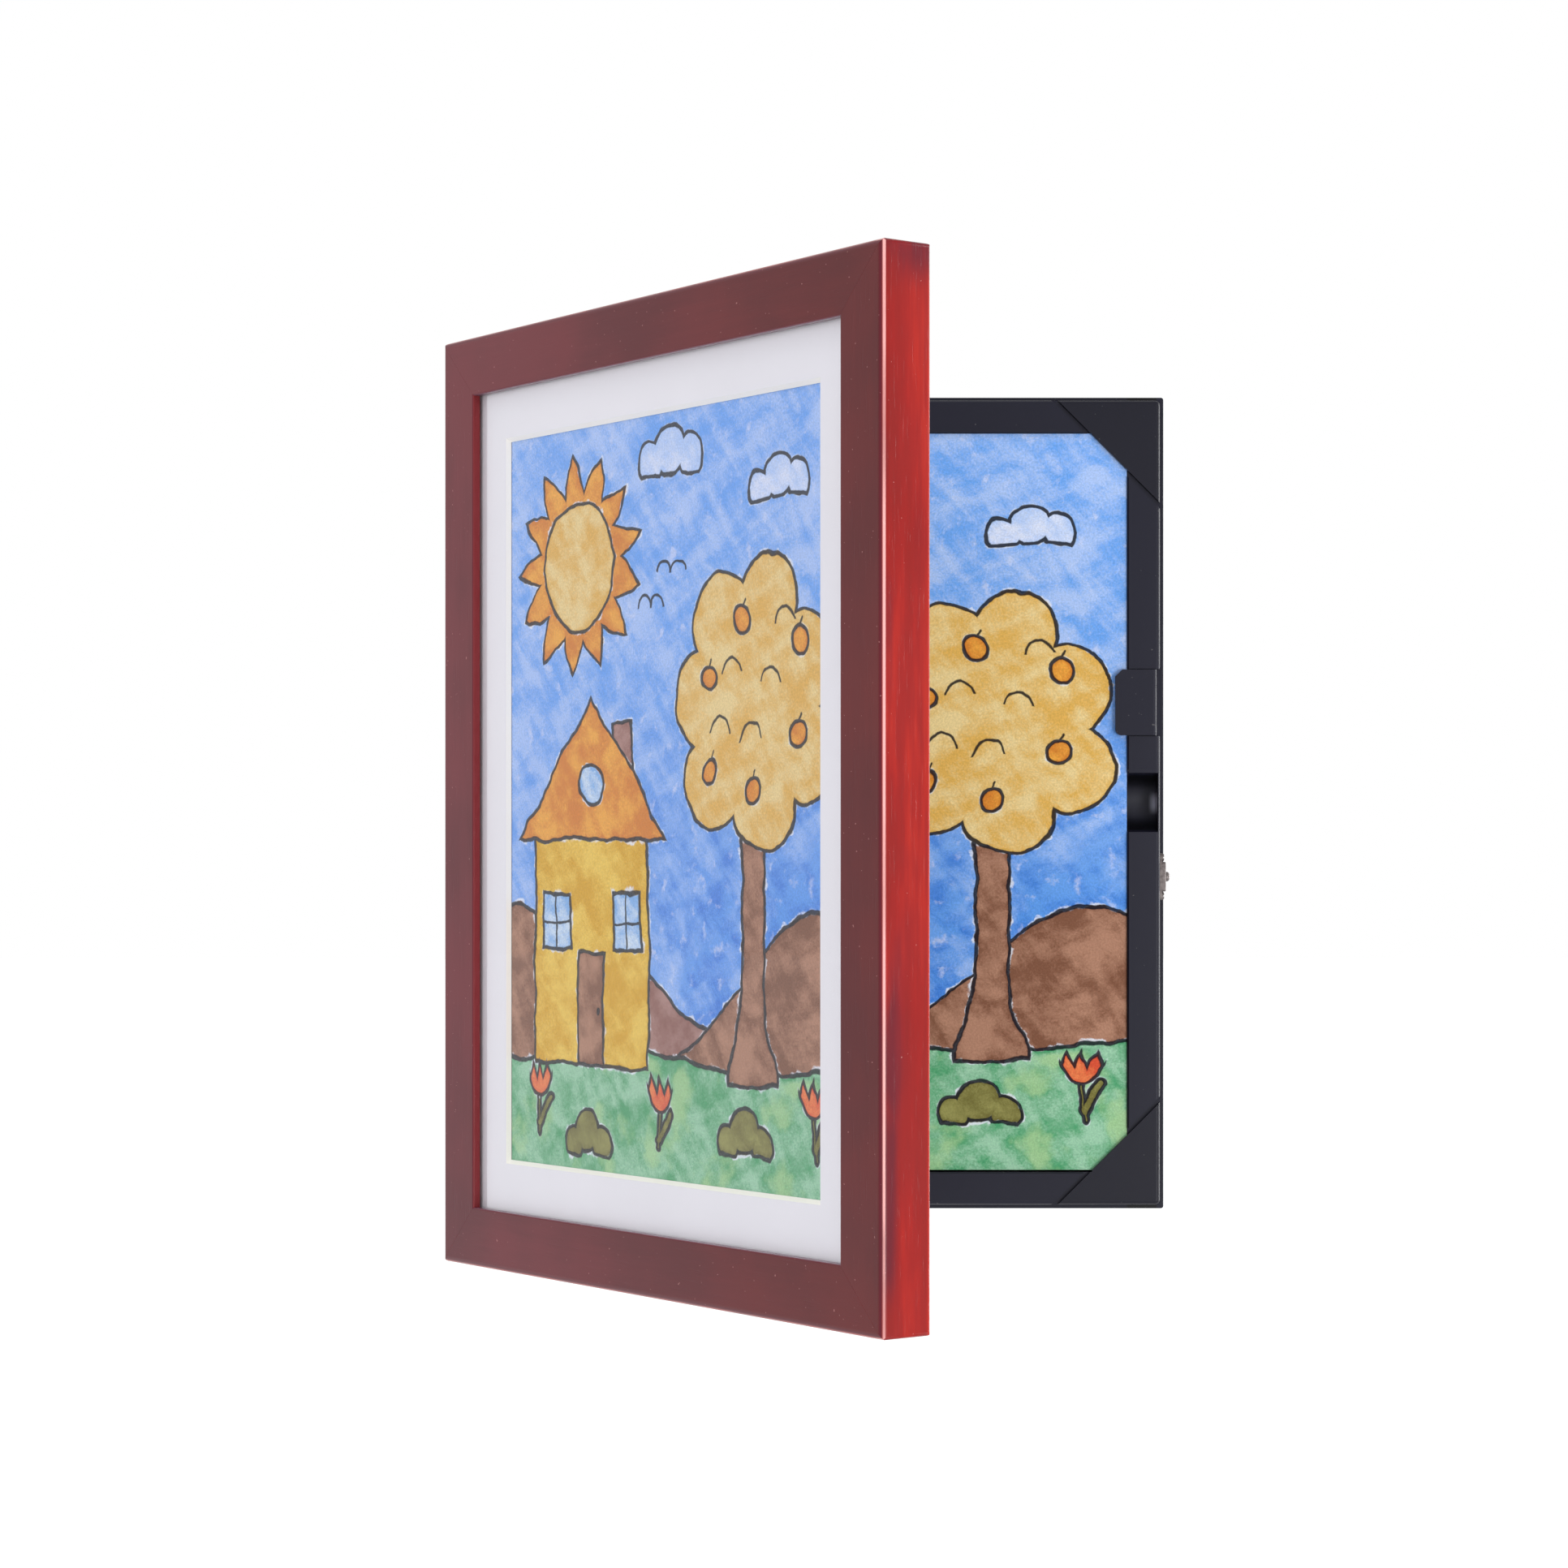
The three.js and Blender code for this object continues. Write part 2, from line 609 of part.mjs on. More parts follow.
function doorLeafGeometry(middle) {
  const length = centred(middle, HINGE_LENGTH);
  const face = DOOR_LEAF_FRONT + LEAF_THICKNESS;
  const leaf = block([AXIS_X, AXIS_X + DOOR_LEAF_WIDTH], [DOOR_LEAF_FRONT, face], length);
  const reach = KNUCKLE_RADIUS + KNUCKLE_GAP;
  const sides = [[1, length[1]], [-1, length[0]]];
  let solid = solidOf(leaf);
  for (const [side, end] of sides) {
    const span = sorted([middle + side * HINGE_MIDDLE_KNUCKLE / 2, end + side * CUT_OVERRUN]);
    const window = block([AXIS_X - reach, AXIS_X + reach], [AXIS_Y - reach, AXIS_Y + reach], span);
    solid = solid.subtract(solidOf(window));
  }
  solid = solid.add(knuckle(centred(middle, HINGE_MIDDLE_KNUCKLE)));
  const holes = leafScrewHoles(DOOR_LEAF_WIDTH, middle, face, -1);
  return geometryOf(solid.subtract(hingeBore(middle)).subtract(holes));
}

function hingePinGeometry(middle) {
  const top = middle + HINGE_LENGTH / 2;
  const shankSpan = [middle - HINGE_LENGTH / 2, top + PIN_HEAD / 2];
  const shank = rodAlongZ(PIN_RADIUS, shankSpan, AXIS_X, AXIS_Y, ROUND_SIDES);
  const headSpan = [top + RUNNING_GAP, top + PIN_HEAD];
  const head = rodAlongZ(PIN_HEAD_RADIUS, headSpan, AXIS_X, AXIS_Y, ROUND_SIDES);
  return geometryOf(solidOf(shank).add(solidOf(head)));
}

function hingeScrewGeometry(leafWidth, z, face, side) {
  return screwAlongY(
    leafScrewX(leafWidth),
    z,
    face,
    side,
    HINGE_SCREW_HEAD,
    HINGE_SCREW_HEAD_RADIUS,
    HINGE_SCREW_RADIUS,
    HINGE_SCREW_LENGTH,
  );
}

// The pilot holes and the groove that a hinge needs in the ear or the stile
function hingeCuts(leafWidth, middle, face, side) {
  const grooveSpan = centred(middle, HINGE_LENGTH + 2 * (PIN_HEAD + KNUCKLE_GAP));
  const groove = rodAlongZ(KNUCKLE_RADIUS + KNUCKLE_GAP, grooveSpan, AXIS_X, AXIS_Y, ROUND_SIDES);
  let cuts = solidOf(groove);
  for (const [, end] of ENDS) {
    const z = middle + end * HINGE_SCREW_SPREAD;
    const x = leafScrewX(leafWidth);
    const span = sorted([face - side * CUT_OVERRUN, face + side * HINGE_SCREW_LENGTH]);
    const pilot = rodAlongY(HINGE_SCREW_RADIUS + RUNNING_GAP, span, x, z, SMALL_ROUND_SIDES);
    cuts = cuts.add(solidOf(pilot));
  }
  return cuts;
}

function ear(middle) {
  const x = [AXIS_X + EAR_END_GAP, -TRAY_WIDTH / 2];
  return solidOf(block(x, [EAR_FRONT, 0], centred(middle, EAR_LENGTH)));
}

// Sawtooth hangers, each let into a pocket so that nothing stands behind the tray's back
const HANGERS = [
  ['portrait', 0, TRAY_HEIGHT / 2 - RIM_WIDTH / 2, 0],
  ['landscape', -TRAY_WIDTH / 2 + RIM_WIDTH / 2, 0, QUARTER_TURN],
];
const NAIL_PLACE = HANGER_LENGTH / 2 - HANGER_FOOT / 2;
const HANGER_BACK = -HANGER_POCKET_DEPTH + HANGER_STAND + HANGER_THICKNESS;

function hangerPocket() {
  const width = HANGER_LENGTH + 2 * HANGER_POCKET_MARGIN;
  const height = HANGER_HEIGHT + 2 * HANGER_POCKET_MARGIN;
  return block(centred(0, width), [-HANGER_POCKET_DEPTH, CUT_OVERRUN], centred(0, height));
}

function hangerGeometry() {
  const half = HANGER_LENGTH / 2;
  const inner = half - HANGER_FOOT;
  const top = HANGER_HEIGHT / 2;
  const pitch = 2 * inner / HANGER_TEETH;
  const points = [[half, -top], [half, top], [-half, top], [-half, -top], [-inner, -top]];
  for (let tooth = 0; tooth < HANGER_TEETH; tooth += 1) {
    const start = -inner + tooth * pitch;
    points.push([start + pitch / 2, -top + HANGER_TOOTH]);
    points.push([start + pitch, -top]);
  }
  const strip = plate(outline(points), HANGER_BACK - HANGER_THICKNESS, HANGER_BACK);
  let solid = solidOf(strip);
  for (const [, end] of ENDS) {
    const across = centred(end * NAIL_PLACE, HANGER_FOOT);
    const foot = block(across, [-HANGER_POCKET_DEPTH, HANGER_BACK], centred(0, HANGER_HEIGHT));
    const span = [-HANGER_POCKET_DEPTH - CUT_OVERRUN, CUT_OVERRUN];
    const hole = rodAlongY(NAIL_RADIUS + RUNNING_GAP, span, end * NAIL_PLACE, 0, SMALL_ROUND_SIDES);
    solid = solid.add(solidOf(foot)).subtract(solidOf(hole));
  }
  return geometryOf(solid);
}

function nailGeometry(end) {
  const face = HANGER_BACK + NAIL_HEAD;
  const length = NAIL_LENGTH + NAIL_HEAD;
  return screwAlongY(end * NAIL_PLACE, 0, face, -1, NAIL_HEAD, NAIL_HEAD_RADIUS, NAIL_RADIUS, length);
}

function nailHole(end) {
  const span = [HANGER_BACK - NAIL_LENGTH - FIT_GAP, 0];
  return rodAlongY(NAIL_RADIUS + RUNNING_GAP, span, end * NAIL_PLACE, 0, SMALL_ROUND_SIDES);
}

function toHanger(geometry, x, z, turn) {
  geometry.rotateY(turn);
  geometry.translate(x, 0, z);
  return geometry;
}

// Tray
function trayGeometry() {
  const rim = plate(roundedRectangle(TRAY_WIDTH, TRAY_HEIGHT, RIM_CORNER), RIM_FRONT, 0, RIM_EDGE);
  const flangeWidth = TRAY_WIDTH + 2 * FLANGE_OUT;
  const flangeHeight = TRAY_HEIGHT + 2 * FLANGE_OUT;
  const flange = plate(roundedRectangle(flangeWidth, flangeHeight, FLANGE_CORNER), -FLANGE_DEPTH, 0);
  let tray = solidOf(rim).add(solidOf(flange));
  for (const [, middle] of HINGES) {
    tray = tray.add(ear(middle)).subtract(hingeCuts(TRAY_LEAF_WIDTH, middle, EAR_FRONT, 1));
  }
  const recessShape = roundedRectangle(RECESS_WIDTH, RECESS_HEIGHT, RECESS_CORNER);
  tray = tray.subtract(solidOf(plate(recessShape, RIM_FRONT - CUT_OVERRUN, -TRAY_FLOOR)));
  for (const [, sideX, sideZ] of SPRING_SPANS) {
    tray = tray.add(peg(sideX, sideZ));
  }
  for (const [, sideX, sideZ] of CORNERS) {
    tray = tray.subtract(cornerSeat(sideX, sideZ));
  }
  tray = tray.subtract(tabSlot()).subtract(thumbNotch()).subtract(catchCuts());
  for (const [, x, z, turn] of HANGERS) {
    tray = tray.subtract(solidOf(toHanger(hangerPocket(), x, z, turn)));
    for (const [, end] of ENDS) {
      tray = tray.subtract(solidOf(toHanger(nailHole(end), x, z, turn)));
    }
  }
  return geometryOf(tray);
}

// Door rails: one moulding, mitred, its sight edge inwards
function railShape() {
  const shape = new THREE.Shape();
  shape.moveTo(RAIL_EDGE, 0);
  shape.lineTo(RAIL_FACE - RAIL_SIGHT_EDGE, 0);
  shape.absarc(RAIL_FACE - RAIL_SIGHT_EDGE, RAIL_SIGHT_EDGE, RAIL_SIGHT_EDGE, -QUARTER_TURN, 0, false);
  shape.lineTo(RAIL_FACE, RAIL_LIP);
  shape.lineTo(RAIL_WALL, RAIL_LIP);
  shape.lineTo(RAIL_WALL, RAIL_DEPTH);
  shape.lineTo(RAIL_BACK_EDGE, RAIL_DEPTH);
  shape.lineTo(0, RAIL_DEPTH - RAIL_BACK_EDGE);
  shape.lineTo(0, RAIL_EDGE);
  shape.absarc(RAIL_EDGE, RAIL_EDGE, RAIL_EDGE, 2 * QUARTER_TURN, 3 * QUARTER_TURN, false);
  return shape;
}

function rail(length, outward, turn) {
  const geometry = new THREE.ExtrudeGeometry(railShape(), {
    depth: 1,
    bevelEnabled: false,
    curveSegments: CORNER_STEPS,
  });
  const position = geometry.attributes.position;
  for (let index = 0; index < position.count; index += 1) {
    const across = position.getX(index);
    const along = (position.getZ(index) - 1 / 2) * (length - 2 * across - MITRE_GAP);
    position.setXYZ(index, across - outward, DOOR_FRONT + position.getY(index), along);
  }
  geometry.rotateY(turn);
  return geometry;
}

// Steel points pressed into the rails hold the backing. Each has a place along its rail.
const POINTS = [
  ['left_upper', -1, 0, SIDE_POINT_PLACE],
  ['left_lower', -1, 0, -SIDE_POINT_PLACE],
  ['right_upper', 1, 0, SIDE_POINT_PLACE],
  ['right_lower', 1, 0, -SIDE_POINT_PLACE],
  ['top', 0, 1, 0],
  ['bottom', 0, -1, 0],
];

function pointBlock(sideX, sideZ, along, gap) {
  const depth = widened([POINT_FRONT, POINT_FRONT + POINT_THICKNESS], gap);
  const width = widened(centred(along, POINT_WIDTH), gap);
  const half = (sideX ? REBATE_WIDTH : REBATE_HEIGHT) / 2;
  const inner = half + POINT_IN_WOOD - POINT_LENGTH;
  const outer = half + POINT_IN_WOOD + gap;
  const reach = sorted([(sideX + sideZ) * inner, (sideX + sideZ) * outer]);
  return sideX ? block(reach, depth, width) : block(width, depth, reach);
}

function cutPoints(solid, wanted) {
  let cut = solid;
  for (const [name, sideX, sideZ, along] of POINTS) {
    if (name.startsWith(wanted)) {
      cut = cut.subtract(solidOf(pointBlock(sideX, sideZ, along, FIT_GAP)));
    }
  }
  return cut;
}

// Strike: a plate let into the latch stile, with a ridge that the nub rides over
const STRIKE_BACK = DOOR_BACK - STRIKE_BACK_INSET;
const STRIKE_SPAN = [STRIKE_BACK - STRIKE_WIDTH, STRIKE_BACK];
const STRIKE_FACE = REBATE_WIDTH / 2;

function strikeGeometry() {
  const span = centred(CATCH_CENTRE, STRIKE_LENGTH);
  const base = block([STRIKE_FACE, STRIKE_FACE + STRIKE_THICKNESS], STRIKE_SPAN, span);
  const foot = STRIKE_FACE + STRIKE_THICKNESS / 2;
  const top = STRIKE_FACE - STRIKE_RIDGE_OUT;
  const near = STRIKE_BACK - STRIKE_RIDGE_WIDTH;
  const slope = STRIKE_RIDGE_WIDTH * RIDGE_TOP_SHARE / 2;
  const ridge = new THREE.ExtrudeGeometry(
    outline([[foot, near], [foot, STRIKE_BACK], [top, STRIKE_BACK - slope], [top, near + slope]]),
    { depth: CATCH_BLOCK_LENGTH, bevelEnabled: false },
  );
  ridge.translate(0, 0, CATCH_CENTRE - CATCH_BLOCK_LENGTH / 2);
  let solid = solidOf(base).add(solidOf(ridge));
  for (const [, end] of ENDS) {
    const z = CATCH_CENTRE + end * STRIKE_SCREW_SPREAD;
    const through = widened([STRIKE_FACE, STRIKE_FACE + STRIKE_THICKNESS], CUT_OVERRUN);
    const sink = [STRIKE_FACE - CUT_OVERRUN, STRIKE_FACE + STRIKE_SCREW_HEAD + RUNNING_GAP];
    const bore = rodAlongX(STRIKE_SCREW_RADIUS + FIT_GAP, through, CATCH_Y, z, SMALL_ROUND_SIDES);
    const seat = rodAlongX(STRIKE_SCREW_HEAD_RADIUS + FIT_GAP, sink, CATCH_Y, z, SMALL_ROUND_SIDES);
    solid = solid.subtract(solidOf(bore)).subtract(solidOf(seat));
  }
  return geometryOf(solid);
}

function strikeScrewGeometry(end) {
  return screwAlongX(
    CATCH_Y,
    CATCH_CENTRE + end * STRIKE_SCREW_SPREAD,
    STRIKE_FACE,
    1,
    STRIKE_SCREW_HEAD,
    STRIKE_SCREW_HEAD_RADIUS,
    STRIKE_SCREW_RADIUS,
    STRIKE_SCREW_LENGTH,
  );
}

function strikeCuts() {
  const depth = [STRIKE_SPAN[0] - FIT_GAP, STRIKE_SPAN[1] + FIT_GAP];
  const span = widened(centred(CATCH_CENTRE, STRIKE_LENGTH), FIT_GAP);
  const pocketSpan = [STRIKE_FACE - CUT_OVERRUN, STRIKE_FACE + STRIKE_THICKNESS + FIT_GAP];
  let cuts = solidOf(block(pocketSpan, depth, span));
  for (const [, end] of ENDS) {
    const z = CATCH_CENTRE + end * STRIKE_SCREW_SPREAD;
    const pilotSpan = [STRIKE_FACE, STRIKE_FACE + STRIKE_SCREW_LENGTH + FIT_GAP];
    const pilot = rodAlongX(STRIKE_SCREW_RADIUS + FIT_GAP, pilotSpan, CATCH_Y, z, SMALL_ROUND_SIDES);
    cuts = cuts.add(solidOf(pilot));
  }
  return cuts;
}

function hingeStileGeometry() {
  let stile = cutPoints(solidOf(rail(DOOR_HEIGHT, DOOR_WIDTH / 2, 0)), 'left');
  for (const [, middle] of HINGES) {
    stile = stile.subtract(hingeCuts(DOOR_LEAF_WIDTH, middle, DOOR_LEAF_FRONT, -1));
  }
  return geometryOf(stile);
}

function latchStileGeometry() {
  const stile = solidOf(rail(DOOR_HEIGHT, DOOR_WIDTH / 2, 2 * QUARTER_TURN));
  return geometryOf(cutPoints(stile, 'right').subtract(strikeCuts()));
}

function topRailGeometry() {
  return geometryOf(cutPoints(solidOf(rail(DOOR_WIDTH, DOOR_HEIGHT / 2, QUARTER_TURN)), 'top'));
}

function bottomRailGeometry() {
  return geometryOf(cutPoints(solidOf(rail(DOOR_WIDTH, DOOR_HEIGHT / 2, -QUARTER_TURN)), 'bottom'));
}

// Panels that lie in the door's rebate
function panelGeometry(front, thickness) {
  const width = REBATE_WIDTH - 2 * PANEL_SIDE_GAP;
  const height = REBATE_HEIGHT - 2 * PANEL_SIDE_GAP;
  return block(centred(0, width), [front, front + thickness], centred(0, height));
}

// The mat's window is smallest at its back and opens at 45 degrees towards the glazing
function matGeometry() {
  const width = SHEET_WIDTH - 2 * MAT_LAP_SIDE;
  const height = SHEET_HEIGHT - 2 * MAT_LAP_END;
  const window = block(centred(0, width), [0, 1], centred(0, height));
  const position = window.attributes.position;
  for (let index = 0; index < position.count; index += 1) {
    const out = position.getY(index) > 0 ? -CUT_OVERRUN : MAT_THICKNESS + CUT_OVERRUN;
    const x = position.getX(index);
    const z = position.getZ(index);
    const y = MAT_FRONT + MAT_THICKNESS - out;
    position.setXYZ(index, x + Math.sign(x) * out, y, z + Math.sign(z) * out);
  }
  return geometryOf(solidOf(panelGeometry(MAT_FRONT, MAT_THICKNESS)).subtract(solidOf(window)));
}

// Assembly
function buildTray(group) {
  place(group, 'tray', trayGeometry(), BLACK_PLASTIC);
  for (const [name, sideX, sideZ] of CORNERS) {
    place(group, `corner_plate_${name}`, cornerPlateGeometry(sideX, sideZ), BLACK_PLASTIC);
  }
  place(group, 'side_tab', tabGeometry(), BLACK_PLASTIC);
  place(group, 'pressure_plate', pressurePlateGeometry(), BLACK_PLASTIC);
  const stackBack = STACK_FRONT + STACK_THICKNESS;
  const frontSheetBack = SHEET_FRONT + SHEET_THICKNESS;
  place(group, 'stored_sheets', sheetGeometry(STACK_FRONT, stackBack), PLAIN_PAPER);
  place(group, 'front_sheet', sheetGeometry(SHEET_FRONT, frontSheetBack), PRINTED_PAPER);
  for (const [name, sideX, sideZ] of SPRING_SPANS) {
    place(group, `plate_spring_${name}`, springGeometry(sideX, sideZ), DARK_STEEL);
  }
}

function buildCatch(group) {
  place(group, 'catch_body', catchGeometry(), STEEL);
  place(group, 'catch_nub', nubGeometry(), STEEL);
  place(group, 'catch_spring', nubSpringGeometry(), DARK_STEEL);
  for (const [name, side] of ENDS) {
    place(group, `catch_screw_${name}`, catchScrewGeometry(side), STEEL);
  }
}

function buildHangers(group) {
  for (const [name, x, z, turn] of HANGERS) {
    place(group, `${name}_hanger`, toHanger(hangerGeometry(), x, z, turn), STEEL);
    for (const [which, end] of ENDS) {
      place(group, `${name}_hanger_nail_${which}`, toHanger(nailGeometry(end), x, z, turn), STEEL);
    }
  }
}

function buildHinges(group, door) {
  for (const [name, middle] of HINGES) {
    place(group, `${name}_hinge_tray_leaf`, trayLeafGeometry(middle), STEEL);
    place(group, `${name}_hinge_pin`, hingePinGeometry(middle), STEEL);
    place(door, `${name}_hinge_door_leaf`, doorLeafGeometry(middle), STEEL);
    for (const [which, end] of ENDS) {
      const z = middle + end * HINGE_SCREW_SPREAD;
      const trayFace = EAR_FRONT - LEAF_THICKNESS;
      const doorFace = DOOR_LEAF_FRONT + LEAF_THICKNESS;
      const trayScrew = hingeScrewGeometry(TRAY_LEAF_WIDTH, z, trayFace, 1);
      const doorScrew = hingeScrewGeometry(DOOR_LEAF_WIDTH, z, doorFace, -1);
      place(group, `${name}_hinge_tray_screw_${which}`, trayScrew, STEEL);
      place(door, `${name}_hinge_door_screw_${which}`, doorScrew, STEEL);
    }
  }
}

function buildDoor(door) {
  place(door, 'hinge_stile', hingeStileGeometry(), CHERRY);
  place(door, 'latch_stile', latchStileGeometry(), CHERRY);
  place(door, 'top_rail', topRailGeometry(), CHERRY);
  place(door, 'bottom_rail', bottomRailGeometry(), CHERRY);
  place(door, 'glazing', panelGeometry(GLAZING_FRONT, GLAZING_THICKNESS), CLEAR);
  place(door, 'mat_board', matGeometry(), MAT_WHITE);
  const framedBack = PICTURE_FRONT + SHEET_THICKNESS;
  place(door, 'framed_sheet', sheetGeometry(PICTURE_FRONT, framedBack), PRINTED_PAPER);
  place(door, 'backing_board', panelGeometry(BACKING_FRONT, BACKING_THICKNESS), HARDBOARD);
  for (const [name, sideX, sideZ, along] of POINTS) {
    place(door, `backing_point_${name}`, pointBlock(sideX, sideZ, along, 0), STEEL);
  }
  place(door, 'strike_plate', strikeGeometry(), STEEL);
  for (const [name, end] of ENDS) {
    place(door, `strike_screw_${name}`, strikeScrewGeometry(end), STEEL);
  }
}

const frame = new THREE.Group();
const door = new THREE.Group();
const doorPivot = new THREE.Group();
door.position.set(-AXIS_X, -AXIS_Y, 0);
doorPivot.position.set(AXIS_X, AXIS_Y, 0);
doorPivot.rotation.z = -DOOR_ANGLE;
doorPivot.add(door);
frame.add(doorPivot);
buildTray(frame);
buildCatch(frame);
buildHangers(frame);
buildHinges(frame, door);
buildDoor(door);

export default frame;
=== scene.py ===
"""The looks of a front-opening frame for children's art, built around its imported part."""

from __future__ import annotations

import logging
import math
from contextlib import contextmanager
from dataclasses import dataclass, field
from enum import Enum
from functools import cache, partial, reduce
from itertools import product
from typing import Callable, Iterator, Sequence

import bmesh
import bpy
from mathutils import Euler, Matrix, Vector


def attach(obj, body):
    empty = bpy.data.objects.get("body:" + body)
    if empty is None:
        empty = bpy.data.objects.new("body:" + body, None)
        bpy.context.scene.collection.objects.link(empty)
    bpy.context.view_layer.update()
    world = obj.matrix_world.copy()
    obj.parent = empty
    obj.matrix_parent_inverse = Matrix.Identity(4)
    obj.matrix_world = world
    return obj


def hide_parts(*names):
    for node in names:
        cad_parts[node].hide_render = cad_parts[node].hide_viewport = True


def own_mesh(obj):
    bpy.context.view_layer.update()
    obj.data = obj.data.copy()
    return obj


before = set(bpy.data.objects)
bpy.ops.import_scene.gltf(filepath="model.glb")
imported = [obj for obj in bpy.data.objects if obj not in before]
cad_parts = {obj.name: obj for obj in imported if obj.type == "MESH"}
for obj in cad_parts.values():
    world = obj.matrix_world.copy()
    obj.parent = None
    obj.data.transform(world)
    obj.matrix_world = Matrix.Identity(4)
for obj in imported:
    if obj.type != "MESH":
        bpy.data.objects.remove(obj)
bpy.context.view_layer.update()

LOG = logging.getLogger("art_frame")

Piece = bpy.types.Object
Material = bpy.types.Material
Node = bpy.types.Node
Layer = bpy.types.NodeTree
Socket = bpy.types.NodeSocket
Span = tuple[float, float]
Place = tuple[float, float, float]
Colour = tuple[float, float, float]
Wash = tuple[Colour, Colour]
Test = Callable[[Vector, Vector], bool]
Noise = tuple[float, float, float]
Inputs = dict[str | int, object]

MM = 0.001
QUARTER = math.pi / 2
SMOOTH_ANGLE = math.radians(35)
SLACK = 0.02 * MM
ENDS = {"upper": 1, "lower": -1}

# Sizes that more than one sub-assembly needs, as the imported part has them
SHEET_WIDTH = 215.9 * MM
SHEET_HEIGHT = 279.4 * MM
TRAY_WIDTH = 242.3 * MM
TRAY_HEIGHT = 305.8 * MM
RIM_FRONT = -20 * MM
REBATE_WIDTH = 251 * MM
REBATE_HEIGHT = 328.5 * MM
DOOR_WIDTH = 271 * MM
DOOR_HEIGHT = 348.5 * MM
DOOR_FRONT = -30.7 * MM
DOOR_BACK = -11.1 * MM
HINGE_X = -132.76 * MM
HINGE_Y = -9.55 * MM
HINGE_PIN = (HINGE_X, HINGE_Y)
HINGE_PLACE = 110 * MM
HINGE_ROOM = 42.2 * MM
KNUCKLE_ROOM = 2.3 * MM
SPRING_X = 60.75 * MM
SPRING_Z = 88.5 * MM
CATCH_Y = -15.2 * MM
CATCH_Z = -28.2 * MM
DOOR_ANGLE = math.radians(53.67)
PAPER_CUTS = 31
COCKLE_SCALE = 45 * MM


def mm(start: float, end: float) -> Span:
    """A span, or two sizes, given in millimetres."""
    return start * MM, end * MM


def turn_about_hinge(angle: float) -> Matrix:
    """The turn about the hinge pins by an angle, in radians."""
    pin = Vector((HINGE_X, HINGE_Y, 0))
    return Matrix.Translation(pin) @ Matrix.Rotation(angle, 4, "Z") @ Matrix.Translation(-pin)


class Body(Enum):
    """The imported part's bodies."""

    TRAY = "tray_body"
    DOOR = "door"
    TAB = "tab"
    NUB = "nub"
    SHEETS = "sheet_carriage"


class Slot(Enum):
    """The record's material slots."""

    WOOD = "cherry_wood"
    PLASTIC = "black_plastic"
    CLEAR = "clear_acrylic"
    CARD = "mat_card"
    PRINT = "printed_paper"
    PAPER = "plain_paper"
    BOARD = "hardboard"
    PLATED = "plated_steel"
    SPRING = "spring_steel"


class Way(Enum):
    """The three directions of the shared frame."""

    X = 0
    Y = 1
    Z = 2


class Join(Enum):
    """What a second solid does to the first."""

    ADD = "UNION"
    CUT = "DIFFERENCE"
    KEEP = "INTERSECT"


# Steps of modelling that every sub-assembly uses

def only(piece: Piece) -> Piece:
    """Selects one object alone, in object mode.

    Args:
        piece: The object to select.

    Returns:
        The same object.
    """
    if bpy.context.mode != "OBJECT":
        bpy.ops.object.mode_set(mode="OBJECT")
    bpy.ops.object.select_all(action="DESELECT")
    piece.select_set(True)
    bpy.context.view_layer.objects.active = piece
    return piece


@contextmanager
def editing(piece: Piece, start: str = "DESELECT") -> Iterator[None]:
    """Edit mode on one object.

    Args:
        piece: The object to edit.
        start: Whether all of it is selected to begin with, or nothing.
    """
    only(piece)
    bpy.ops.object.mode_set(mode="EDIT")
    bpy.ops.mesh.select_all(action=start)
    yield
    bpy.ops.object.mode_set(mode="OBJECT")


def settle(piece: Piece) -> Piece:
    """Puts an object's place, turn and scale into its mesh."""
    only(piece)
    bpy.ops.object.transform_apply(location=True, rotation=True, scale=True)
    return piece


def move(piece: Piece, matrix: Matrix) -> Piece:
    """Moves a finished shape by a matrix, within its mesh."""
    piece.matrix_world = matrix @ piece.matrix_world
    return settle(piece)


def named(piece: Piece, name: str) -> Piece:
    """Names an object and its mesh."""
    piece.name = name
    piece.data.name = name
    return piece


def apply(piece: Piece, modifier: bpy.types.Modifier) -> Piece:
    """Works a modifier into an object's mesh."""
    only(piece)
    bpy.ops.object.modifier_apply(modifier=modifier.name)
    return piece


def around(middle: float, half: float) -> Span:
    """The span that reaches as far to either side of a place."""
    return middle - half, middle + half


def block(name: str, x: Span, y: Span, z: Span) -> Piece:
    """Adds a block between three pairs of planes.

    Args:
        name: The object's name.
        x: Its span from left to right.
        y: Its span from front to back.
        z: Its span from bottom to top.

    Returns:
        The new object, with its place in its mesh.
    """
    bpy.ops.mesh.primitive_cube_add(size=1)
    piece = named(bpy.context.object, name)
    piece.scale = (x[1] - x[0], y[1] - y[0], z[1] - z[0])
    piece.location = (sum(x) / 2, sum(y) / 2, sum(z) / 2)
    return settle(piece)


def rod(name: str, radius: float, way: Way, span: Span, across: Span, sides: int = 32) -> Piece:
    """Adds a round rod along one direction.

    Args:
        name: The object's name.
        radius: The rod's radius.
        way: The direction that it runs in.
        span: Where it starts and ends along that direction.
        across: Its place in the other two directions, in their order.
        sides: How many sides stand for the round.

    Returns:
        The new object, with its place in its mesh.
    """
    turns = {Way.X: (0, QUARTER, 0), Way.Y: (QUARTER, 0, 0), Way.Z: (0, 0, 0)}
    bpy.ops.mesh.primitive_cylinder_add(radius=radius, depth=span[1] - span[0], vertices=sides)
    piece = named(bpy.context.object, name)
    piece.rotation_euler = Euler(turns[way])
    place = list(across)
    place.insert(way.value, sum(span) / 2)
    piece.location = place
    return settle(piece)


